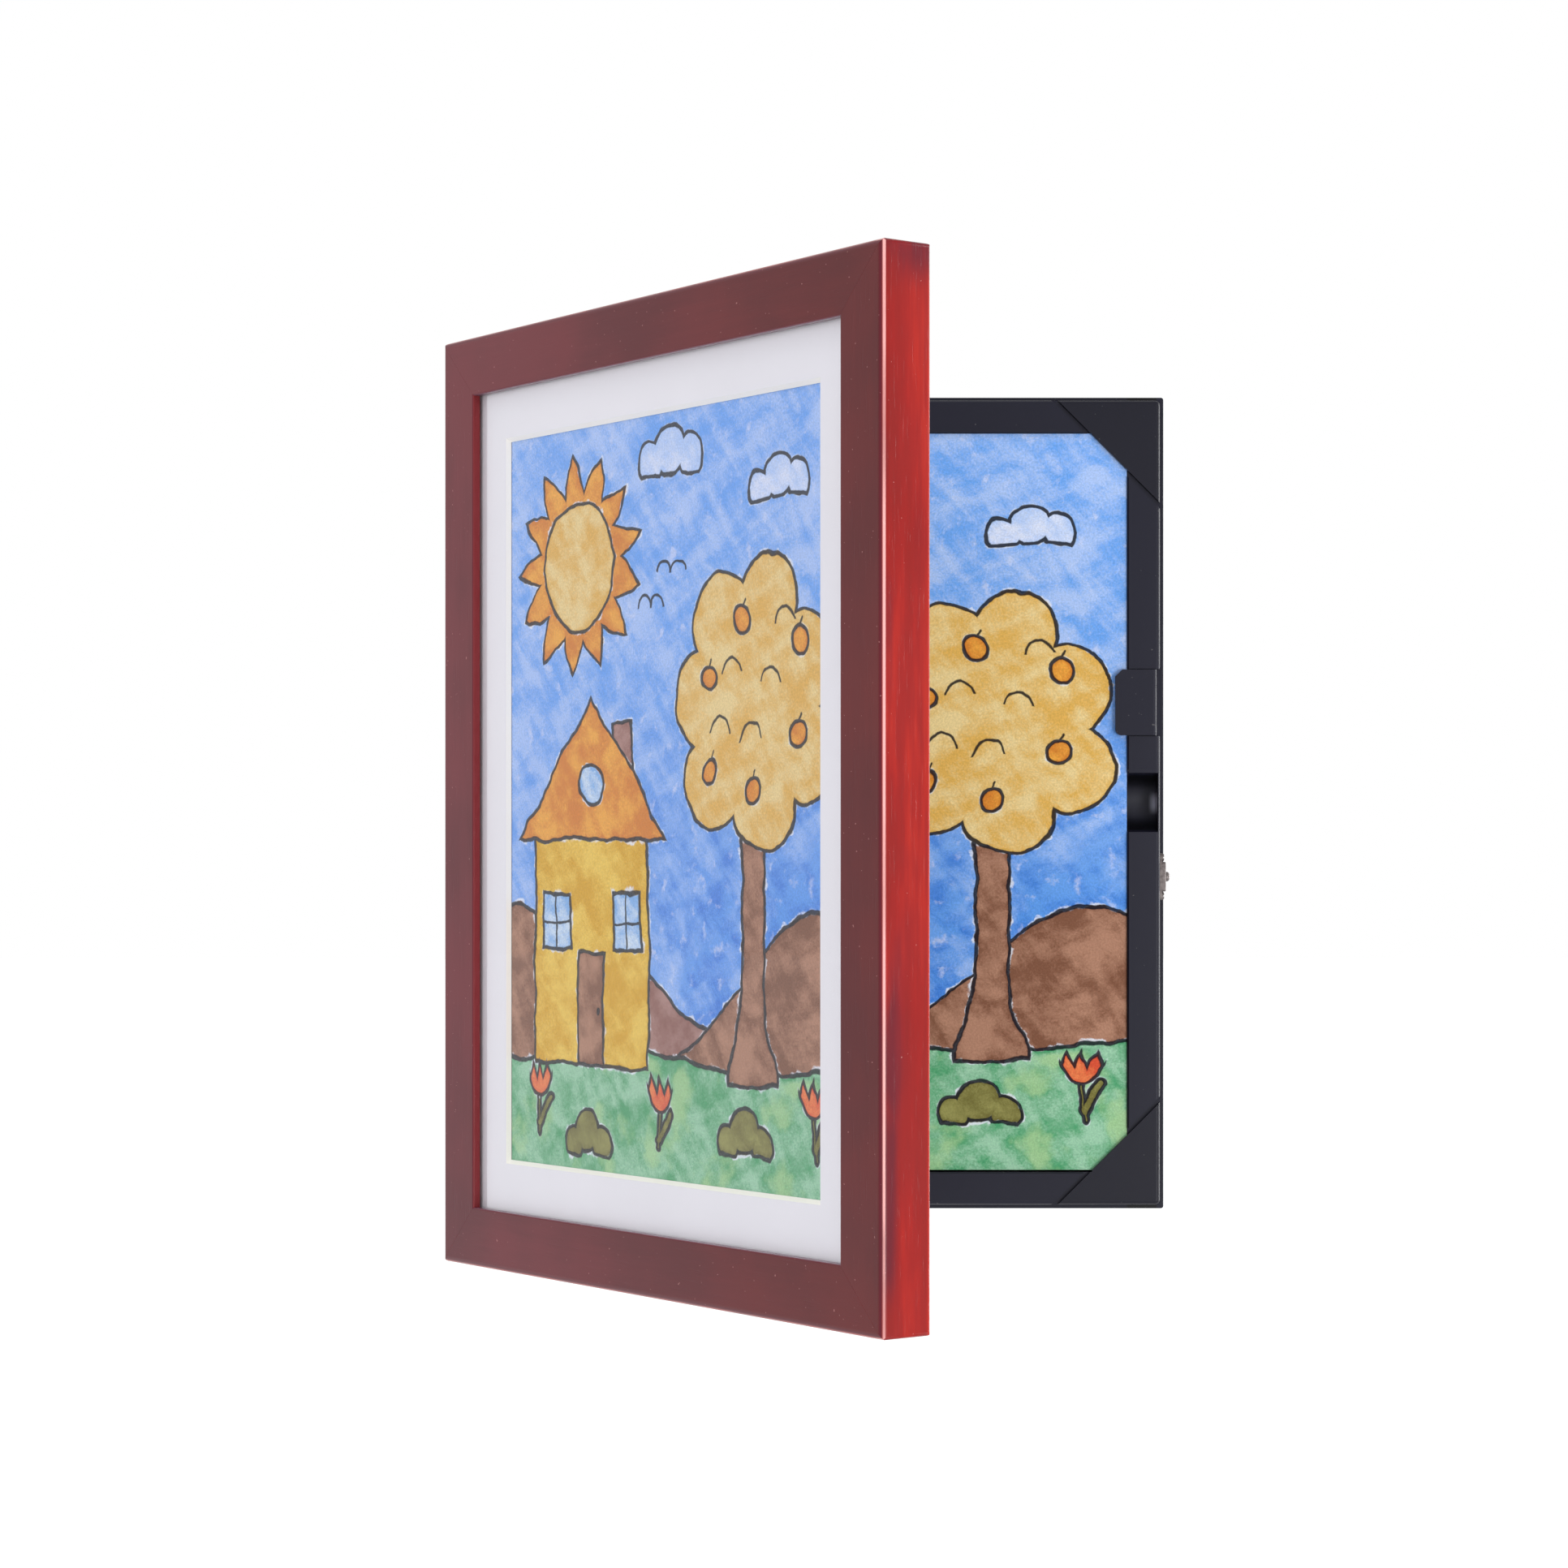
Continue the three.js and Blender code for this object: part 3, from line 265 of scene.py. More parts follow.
def pick_faces(piece: Piece, test: Test) -> None:
    """Selects, in edit mode, the faces whose centre and normal pass a test."""
    bpy.ops.mesh.select_mode(type="FACE")
    shape = bmesh.from_edit_mesh(piece.data)
    for face in shape.faces:
        face.select_set(test(face.calc_center_median(), face.normal))
    bmesh.update_edit_mesh(piece.data)


def pick_edges(piece: Piece, test: Test) -> None:
    """Selects, in edit mode, the edges whose two ends pass a test."""
    bpy.ops.mesh.select_mode(type="EDGE")
    shape = bmesh.from_edit_mesh(piece.data)
    for edge in shape.edges:
        edge.select_set(test(edge.verts[0].co, edge.verts[1].co))
    bmesh.update_edit_mesh(piece.data)


def along(way: Way) -> Test:
    """A test of edges: whether one runs along a direction."""
    return lambda a, b: abs((b - a)[way.value]) > 0.99 * (b - a).length


def level(way: Way, *places: float) -> Test:
    """A test of edges: whether both ends lie in one of some planes across a direction."""
    return lambda a, b: any(max(abs(end[way.value] - place) for end in (a, b)) < SLACK for place in places)


def every(*tests: Test) -> Test:
    """A test of edges that passes where all of some tests pass."""
    return lambda a, b: all(test(a, b) for test in tests)


def round_edges(piece: Piece, test: Test, radius: float, steps: int) -> Piece:
    """Rounds the edges that pass a test.

    Args:
        piece: The object to shape.
        test: Says of an edge's two ends whether to round it.
        radius: The round's radius.
        steps: How many faces make the round.

    Returns:
        The same object.
    """
    with editing(piece):
        pick_edges(piece, test)
        bpy.ops.mesh.bevel(offset=radius, segments=steps, profile=0.5, affect="EDGES")
    return piece


def soften(piece: Piece, width: float, steps: int = 2, angle: float = 40) -> Piece:
    """Rounds every sharp edge, by a modifier.

    Args:
        piece: The object to shape.
        width: How wide the round is.
        steps: How many faces make it.
        angle: The least turn of an edge that is rounded, in degrees.

    Returns:
        The same object.
    """
    bevel = piece.modifiers.new("soften", "BEVEL")
    bevel.width = width
    bevel.segments = steps
    bevel.limit_method = "ANGLE"
    bevel.angle_limit = math.radians(angle)
    return apply(piece, bevel)


def combine(piece: Piece, join: Join, *tools: Piece) -> Piece:
    """Joins, cuts or keeps with each tool in turn, and removes the tools.

    Args:
        piece: The solid that is worked on.
        join: What the tools do to it.
        tools: The solids that work on it.

    Returns:
        The worked solid.
    """
    for tool in tools:
        step = piece.modifiers.new(join.value, "BOOLEAN")
        step.object = tool
        step.operation = join.value
        step.solver = "EXACT"
        apply(piece, step)
        bpy.data.objects.remove(tool)
    return piece


def slice_off(piece: Piece, point: Vector, normal: Vector) -> Piece:
    """Cuts away all that lies on the side a plane's normal points to, and closes the cut."""
    with editing(piece, "SELECT"):
        bpy.ops.mesh.bisect(plane_co=point, plane_no=normal, use_fill=True, clear_outer=True)
    return piece


def score(piece: Piece, point: Vector, normal: Vector) -> Piece:
    """Draws a line of new edges round a piece where a plane crosses it."""
    with editing(piece, "SELECT"):
        bpy.ops.mesh.bisect(plane_co=point, plane_no=normal, use_fill=False)
    return piece


def pull(piece: Piece, test: Test, by: Vector) -> Piece:
    """Extrudes the faces that pass a test along a vector."""
    with editing(piece):
        pick_faces(piece, test)
        bpy.ops.mesh.extrude_region_move(TRANSFORM_OT_translate={"value": by})
    return piece


def slab(name: str, width: float, height: float, y: Span, corner: float = 0, edge: float = 0) -> Piece:
    """Adds a centred plate with rounded corners and a rounded front edge.

    Args:
        name: The object's name.
        width: Its whole width.
        height: Its whole height.
        y: Its front and back.
        corner: The radius of its four corners.
        edge: The radius of its front edge.

    Returns:
        The new object.
    """
    piece = block(name, (-width / 2, width / 2), y, (-height / 2, height / 2))
    if corner:
        round_edges(piece, along(Way.Y), corner, 6)
    if edge:
        round_edges(piece, level(Way.Y, y[0]), edge, 4)
    return piece


def twin(piece: Piece, matrix: Matrix) -> Piece:
    """Copies a piece with a mesh of its own, moved by a matrix.

    Args:
        piece: The piece to copy, which stays where it is.
        matrix: Where the copy goes.

    Returns:
        The copy.
    """
    other = piece.copy()
    other.data = piece.data.copy()
    bpy.context.scene.collection.objects.link(other)
    return move(other, matrix)


def joined(pieces: Sequence[Piece]) -> Piece:
    """Makes one object of several, without working one into the other.

    Args:
        pieces: The objects, which go into the first.

    Returns:
        The whole.
    """
    only(pieces[0])
    for piece in pieces:
        piece.select_set(True)
    bpy.ops.object.join()
    return bpy.context.object


def hinge_groove(side: int) -> Piece:
    """The cutter of the room for a hinge's knuckles: 1 is the upper hinge, and -1 the lower."""
    return rod("groove", KNUCKLE_ROOM, Way.Z, around(side * HINGE_PLACE, HINGE_ROOM / 2), HINGE_PIN, 24)


def quarters(upper: str, lower: str) -> dict[str, tuple[int, int]]:
    """The signs of X and Z in each quarter, by its name."""
    ways = {"right": 1, "left": -1}
    names = ((upper, "right"), (upper, "left"), (lower, "left"), (lower, "right"))
    return {f"{up}_{across}": (ways[across], 1 if up == upper else -1) for up, across in names}


def at_springs() -> dict[str, Span]:
    """Where each of the four plate springs stands, across and up."""
    return {name: (x * SPRING_X, z * SPRING_Z) for name, (x, z) in quarters("upper", "lower").items()}


def put(piece: Piece, finish: Finish, *nodes: str, body: Body = Body.TRAY) -> Piece:
    """Dresses a finished shape, names it, and hands it to the frame.

    Args:
        piece: The finished shape.
        finish: Its material and slot. A material that is there already stays.
        nodes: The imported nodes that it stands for. The first gives its name.
        body: The body that it moves with.

    Returns:
        The piece.
    """
    only(piece)
    bpy.ops.object.shade_smooth_by_angle(angle=SMOOTH_ANGLE)
    even = piece.modifiers.new("even", "WEIGHTED_NORMAL")
    even.keep_sharp = True
    apply(piece, even)
    if not piece.data.materials:
        piece.data.materials.append(finish.material)
    named(piece, f"{nodes[0]}_made")
    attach(piece, body.value)
    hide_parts(*nodes)
    LOG.info("%s: %d faces on %s", piece.name, len(piece.data.polygons), body.value)
    return piece


def put_on_door(piece: Piece, finish: Finish, *nodes: str) -> Piece:
    """Opens a piece that was modelled on the shut door, and hands it to the frame."""
    return put(move(piece, turn_about_hinge(-DOOR_ANGLE)), finish, *nodes, body=Body.DOOR)


def screw(way: Way, face: float, inwards: float, across: Span, head: Span, shank: Span) -> Piece:
    """Models a slotted screw.

    Args:
        way: The direction that it runs in.
        face: Where the face of its head lies along that direction.
        inwards: 1 or -1, the side that its tip points to.
        across: Its place in the other two directions.
        head: The head's radius and thickness.
        shank: The shank's radius and the screw's whole length.

    Returns:
        The screw.
    """
    head_span = sorted((face, face + inwards * head[1]))
    shank_span = sorted((face + inwards * head[1] / 2, face + inwards * shank[1]))
    cap = rod("screw", head[0], way, tuple(head_span), across)
    round_edges(cap, level(way, face), head[1] * 0.4, 3)
    combine(cap, Join.ADD, rod("shank", shank[0], way, tuple(shank_span), across, 16))
    slot = [around(*pair) for pair in zip(across, (head[0] * 1.2, head[0] * 0.16))]
    slot.insert(way.value, around(face, head[1] * 0.45))
    return combine(cap, Join.CUT, block("slot", *slot))


@dataclass
class DoorFrame:
    """The four mitred rails of the door."""

    finishes: Finishes
    face: float = 22.1 * MM
    depth: float = 19.6 * MM
    wall: float = 10 * MM
    lip: float = 3 * MM
    front_edge: float = 2.4 * MM
    sight_edge: float = 0.7 * MM
    back_edge: float = 0.8 * MM
    mitre_gap: float = 0.03 * MM
    corner: float = 1.6 * MM
    sanded: tuple[Span, ...] = ((9 * MM, 0.09), (4.5 * MM, 0.2))

    def bar(self, outward: float, length: float, turn: float) -> Piece:
        """Models one rail as a left stile, mitres it, and turns it to its side.

        Args:
            outward: How far its outer face is from the door's middle.
            length: The length of that outer face.
            turn: The turn about Y from the left side to its own, in radians.

        Returns:
            The rail on the shut door.
        """
        outer = -outward
        inner = outer + self.face
        lip_back = DOOR_FRONT + self.lip
        bar = block("bar", (outer, inner), (DOOR_FRONT, lip_back), (-length / 2, length / 2))
        score(bar, Vector((outer + self.wall, 0, 0)), Vector((1, 0, 0)))
        behind_wall = Vector((0, self.depth - self.lip, 0))
        pull(bar, lambda c, n: n.y > 0.9 and c.x < outer + self.wall, behind_wall)
        for x, y, radius, steps in (
            (outer, DOOR_FRONT, self.front_edge, 7),
            (inner, DOOR_FRONT, self.sight_edge, 4),
            (outer, DOOR_BACK, self.back_edge, 3),
        ):
            round_edges(bar, every(level(Way.X, x), level(Way.Y, y)), radius, steps)
        for end in (1, -1):
            point = Vector((outer, 0, end * (length / 2 - self.mitre_gap)))
            slice_off(bar, point, Vector((1, 0, end)))
        move(bar, Matrix.Rotation(turn, 4, "Y"))
        depth = (DOOR_FRONT - MM, DOOR_BACK + MM)
        corners = slab("corners", DOOR_WIDTH, DOOR_HEIGHT, depth, self.corner)
        for end in (1, -1):
            for rub in self.sanded:
                point = Vector((-DOOR_WIDTH / 2, 0, end * (DOOR_HEIGHT / 2 - rub[0])))
                slice_off(corners, point, Vector((-1, 0, end * rub[1])))
        return combine(bar, Join.KEEP, corners)

    def build(self) -> None:
        """Builds the two stiles and the two rails."""
        strike = Strike(self.finishes)
        stile = (DOOR_WIDTH / 2, DOOR_HEIGHT, self.finishes.stile_wood)
        rail = (DOOR_HEIGHT / 2, DOOR_WIDTH, self.finishes.rail_wood)
        bars = {
            "hinge_stile": (stile, 0, (hinge_groove(1), hinge_groove(-1))),
            "latch_stile": (stile, 2 * QUARTER, (strike.pocket(),)),
            "top_rail": (rail, QUARTER, ()),
            "bottom_rail": (rail, -QUARTER, ()),
        }
        for name, ((outward, length, wood), turn, cutters) in bars.items():
            bar = self.bar(outward, length, turn)
            put_on_door(combine(bar, Join.CUT, *cutters), wood, name)
        strike.build()


@dataclass
class Strike:
    """The plate in the latch stile that the catch's nub rides over."""

    finishes: Finishes
    length: float = 22 * MM
    width: float = 6.6 * MM
    thickness: float = 1 * MM
    back_inset: float = 0.4 * MM
    ridge_out: float = 0.8 * MM
    ridge_width: float = 1.3 * MM
    ridge_length: float = 11.3 * MM
    screw_spread: float = 7.6 * MM
    screw_head: Span = mm(1.6, 0.5)
    screw_shank: Span = mm(0.8, 5)

    def spans(self) -> tuple[Span, Span, Span]:
        """The plate's spans in X, Y and Z on the shut door."""
        back = DOOR_BACK - self.back_inset
        face = REBATE_WIDTH / 2
        half = self.length / 2
        return (face, face + self.thickness), (back - self.width, back), around(CATCH_Z, half)

    def pocket(self) -> Piece:
        """The recess that the plate lies in, as a cutter."""
        x, y, z = self.spans()
        gap = 0.15 * MM
        tool = block("pocket", (x[0] - MM, x[1] + gap), (y[0] - gap, y[1] + gap), (z[0] - gap, z[1] + gap))
        return round_edges(tool, along(Way.X), 1.2 * MM, 4)

    def build(self) -> None:
        """Builds the plate with its ridge, and the two screws."""
        x, y, z = self.spans()
        plate = block("strike", x, y, z)
        round_edges(plate, along(Way.X), 1.1 * MM, 4)
        half = self.ridge_length / 2
        ridge_x = (x[0] - self.ridge_out, x[0] + self.thickness / 2)
        ridge_y = (y[1] - self.ridge_width, y[1] - 0.05 * MM)
        ridge = block("ridge", ridge_x, ridge_y, around(CATCH_Z, half))
        round_edges(ridge, level(Way.X, ridge_x[0]), 0.35 * MM, 3)
        combine(plate, Join.ADD, ridge)
        for name, end in ENDS.items():
            across = (CATCH_Y, CATCH_Z + end * self.screw_spread)
            sink = rod("sink", 1.75 * MM, Way.X, (x[0] - MM, x[0] + 0.6 * MM), across, 24)
            combine(plate, Join.CUT, sink)
            face = x[0] + 0.05 * MM
            fastener = screw(Way.X, face, 1, across, self.screw_head, self.screw_shank)
            put_on_door(fastener, self.finishes.steel, f"strike_screw_{name}")
        soften(plate, 0.12 * MM)
        put_on_door(plate, self.finishes.steel, "strike_plate")


@dataclass
class DoorFilling:
    """What the door's rebate holds: glazing, mat, sheet, backing and steel points."""

    finishes: Finishes
    side_gap: float = 0.4 * MM
    glazing: Span = mm(-27.45, -26.45)
    mat: Span = mm(-26.2, -24.8)
    sheet: Span = mm(-24.55, -24.25)
    backing: Span = mm(-24.0, -22.5)
    points: Span = mm(-22.25, -21.75)
    window_width: float = 191.3 * MM
    window_height: float = 266.5 * MM
    point_width: float = 8 * MM
    point_length: float = 13 * MM
    point_in_wood: float = 4 * MM
    point_round: float = 2.6 * MM
    point_hole: float = 1.3 * MM
    point_hole_inset: float = 3.4 * MM
    side_point_place: float = 95 * MM

    def panel(self, y: Span) -> Piece:
        """A flat panel that fills the rebate."""
        width = REBATE_WIDTH - 2 * self.side_gap
        height = REBATE_HEIGHT - 2 * self.side_gap
        return slab("panel", width, height, y, 0.5 * MM)

    def mat_board(self) -> Piece:
        """The mat, with its window cut at 45 degrees, its face and core dressed apart."""
        mat = self.panel(self.mat)
        over = MM
        half_x = self.window_width / 2 - over
        half_z = self.window_height / 2 - over
        y = (self.mat[0] - over, self.mat[1] + over)
        cutter = block("window", (-half_x, half_x), y, (-half_z, half_z))
        spread = y[1] - y[0]
        wide = (half_x + spread) / half_x
        high = (half_z + spread) / half_z
        with editing(cutter):
            pick_faces(cutter, lambda c, n: n.y < -0.9)
            bpy.ops.transform.resize(value=(wide, 1, high))
        combine(mat, Join.CUT, cutter)
        for finish in (self.finishes.mat_face, self.finishes.mat_core):
            mat.data.materials.append(finish.material)
        for face in mat.data.polygons:
            slanted = 0.5 < abs(face.normal.y) < 0.9
            face.material_index = int(slanted)
        return mat

    def point(self) -> Piece:
        """One steel point in the left stile's wall, at the middle of its height.

        Returns:
            The point, on the shut door.
        """
        wall = -REBATE_WIDTH / 2
        outer = wall - self.point_in_wood
        tip = outer + self.point_length
        tab = block("point", (outer, tip), self.points, (-self.point_width / 2, self.point_width / 2))
        round_edges(tab, every(along(Way.Y), lambda a, b: a.x > wall), self.point_round, 5)
        across = (tip - self.point_hole_inset, 0)
        span = (self.points[0] - MM, self.points[1] + MM)
        combine(tab, Join.CUT, rod("hole", self.point_hole, Way.Y, span, across, 24))
        return soften(tab, 0.1 * MM)

    def build(self) -> None:
        """Builds the five layers and the six points."""
        glazing = soften(self.panel(self.glazing), 0.15 * MM)
        put_on_door(glazing, self.finishes.glazing, "glazing")
        put_on_door(self.mat_board(), self.finishes.mat_face, "mat_board")
        sheet = paper(self.sheet, 0.16 * MM)
        put_on_door(sheet, self.finishes.framed_print, "framed_sheet")
        backing = soften(self.panel(self.backing), 0.25 * MM)
        put_on_door(backing, self.finishes.hardboard, "backing_board")
        first = self.point()
        drop = Matrix.Translation(Vector(((REBATE_HEIGHT - REBATE_WIDTH) / -2, 0, 0)))
        upper = Matrix.Translation((0, 0, self.side_point_place))
        lower = Matrix.Translation((0, 0, -self.side_point_place))
        half_turn = Matrix.Rotation(2 * QUARTER, 4, "Y")
        places = {
            "left_upper": upper,
            "left_lower": lower,
            "right_upper": upper @ half_turn,
            "right_lower": lower @ half_turn,
            "top": Matrix.Rotation(QUARTER, 4, "Y") @ drop,
            "bottom": Matrix.Rotation(-QUARTER, 4, "Y") @ drop,
        }
        for name, matrix in places.items():
            tab = twin(first, matrix)
            put_on_door(tab, self.finishes.steel, f"backing_point_{name}")
        bpy.data.objects.remove(first)


def paper(y: Span, wave: float, spread: float = 0) -> Piece:
    """Models a sheet that has cockled a little under its paint.

    Args:
        y: Its front and back.
        wave: The whole height of its waves.
        spread: How much wider than letter size it has grown. It grows upwards half as much.

    Returns:
        The sheet.
    """
    sheet = slab("paper", SHEET_WIDTH + spread, SHEET_HEIGHT + spread / 2, y)
    move(sheet, Matrix.Translation((0, 0, spread / 4)))
    with editing(sheet, "SELECT"):
        bpy.ops.mesh.subdivide(number_cuts=PAPER_CUTS)
    cloud = bpy.data.textures.new("cockle", "CLOUDS")
    cloud.noise_scale = COCKLE_SCALE
    cockle = sheet.modifiers.new("cockle", "DISPLACE")
    cockle.texture = cloud
    cockle.texture_coords = "LOCAL"
    cockle.direction = "Y"
    cockle.strength = wave
    return apply(sheet, cockle)


@dataclass
class Tray:
    """The moulded tray, its corner plates and its side tab."""

    finishes: Finishes
    recess_width: float = 217.5 * MM
    recess_height: float = 281 * MM
    floor: float = -3 * MM
    rim_corner: float = 1.8 * MM
    rim_edge: float = 1.6 * MM
    flange_corner: float = 1 * MM
    recess_corner: float = 1.5 * MM
    recess_edge: float = 0.5 * MM
    flange_out: float = 2.3 * MM
    flange_depth: float = 10 * MM
    corner_leg: float = 39 * MM
    corner_thickness: float = 1.5 * MM
    corner_groove: float = 1.7 * MM
    web_radius: float = 5 * MM
    tab_z: Span = mm(25.5, 50.5)
    tab_x: Span = mm(104.05, 119.75)
    tab_y: Span = mm(-20.6, -19)
    tab_slope: Span = (2.6, 4.2)
    foot_start: float = 112.15 * MM
    slot_start: float = 111.85 * MM
    slot_gap: float = 0.3 * MM
    slot_depth: float = 1.3 * MM
    lip: float = 1.8 * MM
    notch_radius: float = 11.25 * MM
    barrel_radius: float = 2.8 * MM
    barrel_length: float = 9.3 * MM
    ear_front: float = -8.3 * MM
    ear_half: float = 25 * MM
    peg: Span = mm(-4.5, -2)
    peg_radius: float = 3.3 * MM
    panel_size: Span = mm(206, 272)
    panel_depth: float = 0.6 * MM
    mark_pitch: Span = mm(88, 118)
    mark_radius: float = 4 * MM
    pocket_size: Span = mm(46.4, 9.4)
    pocket_depth: float = 2.6 * MM

    def corner_block(self, leg: float, inset: float, y: Span) -> Piece:
        """A right-angled prism at the tray's top right corner.

        Args:
            leg: How far it reaches from the tray's corner along each side.
            inset: How far its two square sides lie inside the tray's own.
            y: Its front and back.

        Returns:
            The prism.
        """
        x = TRAY_WIDTH / 2
        z = TRAY_HEIGHT / 2
        prism = block("prism", (x - leg, x - inset), y, (z - leg, z - inset))
        return slice_off(prism, Vector((x - leg, 0, z)), Vector((-1, 0, -1)))

    def at_corners(self, piece: Piece) -> list[tuple[str, Piece]]:
        """Copies a top right piece to all four corners.

        Args:
            piece: The piece, which is removed.

        Returns:
            Each corner's name, with its copy.
        """
        made = []
        for name, (side_x, side_z) in quarters("top", "bottom").items():
            copy = twin(piece, Matrix.Diagonal((side_x, 1, side_z, 1)))
            if side_x != side_z:
                with editing(copy, "SELECT"):
                    bpy.ops.mesh.normals_make_consistent(inside=False)
            made.append((name, copy))
        bpy.data.objects.remove(piece)
        return made

    def recess(self) -> Piece:
        """The cutter of the recess, flared where it meets the rim's face."""
        front = RIM_FRONT - MM
        y = (RIM_FRONT, self.floor)
        cutter = slab("recess", self.recess_width, self.recess_height, y, self.recess_corner)
        flare = self.recess_edge
        with editing(cutter):
            pick_faces(cutter, lambda c, n: n.y < -0.9)
            bpy.ops.transform.translate(value=(0, flare, 0))
            bpy.ops.mesh.extrude_region_move(TRANSFORM_OT_translate={"value": (0, -flare, 0)})
            wide = 1 + 2 * flare / self.recess_width
            high = 1 + 2 * flare / self.recess_height
            bpy.ops.transform.resize(value=(wide, 1, high))
            bpy.ops.mesh.extrude_region_move(TRANSFORM_OT_translate={"value": (0, front - RIM_FRONT, 0)})
        return cutter

    def tab_slot(self) -> tuple[Piece, Piece]:
        """The two cutters of the slot that the side tab runs in."""
        outside = TRAY_WIDTH / 2 + MM
        low, high = self.tab_z
        middle = self.tab_y[1]
        gap = self.slot_gap
        upper_x = (self.recess_width / 2 - MM, outside)
        upper = block("slot_front", upper_x, (RIM_FRONT - MM, middle + 0.05 * MM), (low - gap, high + gap))
        room = self.lip + gap
        lower_x = (self.slot_start, outside)
        lower = block("slot_back", lower_x, (middle, middle + self.slot_depth), (low - room, high + room))
        return upper, lower

    def back_marks(self) -> list[Piece]:
        """The cutters of the shallow panel in the tray's back and its ejector marks."""
        panel = slab("panel", *self.panel_size, (-self.panel_depth, MM), 5 * MM)
        span = (-self.panel_depth - 0.25 * MM, MM)
        places = product(*((-pitch, 0, pitch) for pitch in self.mark_pitch))
        return [panel, *(rod("mark", self.mark_radius, Way.Y, span, place, 28) for place in places)]

    def body(self) -> Piece:
        """The tray itself, without what is fitted to it."""
        half_x = TRAY_WIDTH / 2
        tray = slab("tray", TRAY_WIDTH, TRAY_HEIGHT, (RIM_FRONT, 0), self.rim_corner, self.rim_edge)
        flange_y = (-self.flange_depth, 0)
        out = 2 * self.flange_out
        flange = slab("flange", TRAY_WIDTH + out, TRAY_HEIGHT + out, flange_y, self.flange_corner, 0.5 * MM)
        combine(tray, Join.ADD, flange)
        for side in (1, -1):
            z = around(side * HINGE_PLACE, self.ear_half)
            ear = block("ear", (HINGE_X + 0.3 * MM, -half_x), (self.ear_front, 0), z)
            round_edges(ear, every(along(Way.Y), lambda a, b: a.x < -half_x - MM), 1.5 * MM, 4)
            combine(tray, Join.ADD, ear)
            combine(tray, Join.CUT, hinge_groove(side))
        combine(tray, Join.CUT, self.recess())
        for across in at_springs().values():
            combine(tray, Join.ADD, rod("peg", self.peg_radius, Way.Y, self.peg, across, 28))
        seat_leg = self.corner_leg + self.corner_groove * math.sqrt(2)
        seat_y = (RIM_FRONT - MM, RIM_FRONT + self.corner_thickness + 0.02 * MM)
        for _, seat in self.at_corners(self.corner_block(seat_leg, -2 * MM, seat_y)):
            combine(tray, Join.CUT, seat)
        combine(tray, Join.CUT, *self.tab_slot())
        notch_x = (self.recess_width / 2 - MM, half_x - 0.8 * MM)
        combine(tray, Join.CUT, rod("notch", self.notch_radius, Way.X, notch_x, (RIM_FRONT, 0), 64))
        barrel = (half_x - self.barrel_length, half_x + MM)
        combine(tray, Join.CUT, rod("barrel", self.barrel_radius, Way.X, barrel, (CATCH_Y, CATCH_Z), 28))
        combine(tray, Join.CUT, *self.back_marks())
        for matrix in Hangers.places().values():
            pocket = slab("pocket", *self.pocket_size, (-self.pocket_depth, MM), 1.2 * MM)
            combine(tray, Join.CUT, move(pocket, matrix))
        return tray

    def webs(self, y: Span) -> list[Piece]:
        """The two small fillets where the top right plate's slant meets the recess.

        Args:
            y: The plate's front and back.

        Returns:
            The fillets.
        """
        reach = TRAY_WIDTH / 2 + TRAY_HEIGHT / 2 - self.corner_leg
        slant = Vector((1, 0, 1))
        made = []
        for inner, flip in ((self.recess_width / 2, False), (self.recess_height / 2, True)):
            wall = inner - 0.12 * MM
            tip = reach - wall
            low = tip - self.web_radius * math.tan(math.pi / 8)
            span = (low, tip + 0.5 * MM)
            middle = (wall - self.web_radius, low)
            x, z = ((span, (wall - 2 * MM, wall)) if flip else ((wall - 2 * MM, wall), span))
            web = block("web", x, y, z)
            slice_off(web, Vector((reach / 2 + 0.3 * MM, 0, reach / 2 + 0.3 * MM)), slant)
            across = tuple(reversed(middle)) if flip else middle
            over = (y[0] - MM, y[1] + MM)
            combine(web, Join.CUT, rod("round", self.web_radius, Way.Y, over, across, 96))
            made.append(web)
        return made

    def build_corner_plates(self) -> None:
        """Builds the four plates that hold the sheets' corners."""
        y = (RIM_FRONT, RIM_FRONT + self.corner_thickness)
        inset = 0.08 * MM
        plate = self.corner_block(self.corner_leg, inset, y)
        edge_x = TRAY_WIDTH / 2 - inset
        edge_z = TRAY_HEIGHT / 2 - inset
        outer = every(along(Way.Y), level(Way.X, edge_x), level(Way.Z, edge_z))
        round_edges(plate, outer, self.rim_corner, 6)
        diagonal = edge_x + edge_z - self.corner_leg + 0.4 * MM
        rim = every(level(Way.Y, RIM_FRONT), lambda a, b: max(a.x + a.z, b.x + b.z) >= diagonal)
        round_edges(plate, rim, self.rim_edge - 0.05 * MM, 4)
        combine(plate, Join.ADD, *self.webs(y))
        soften(plate, 0.22 * MM, 2, 50)
        for name, copy in self.at_corners(plate):
            put(copy, self.finishes.corner_plastic, f"corner_plate_{name}")

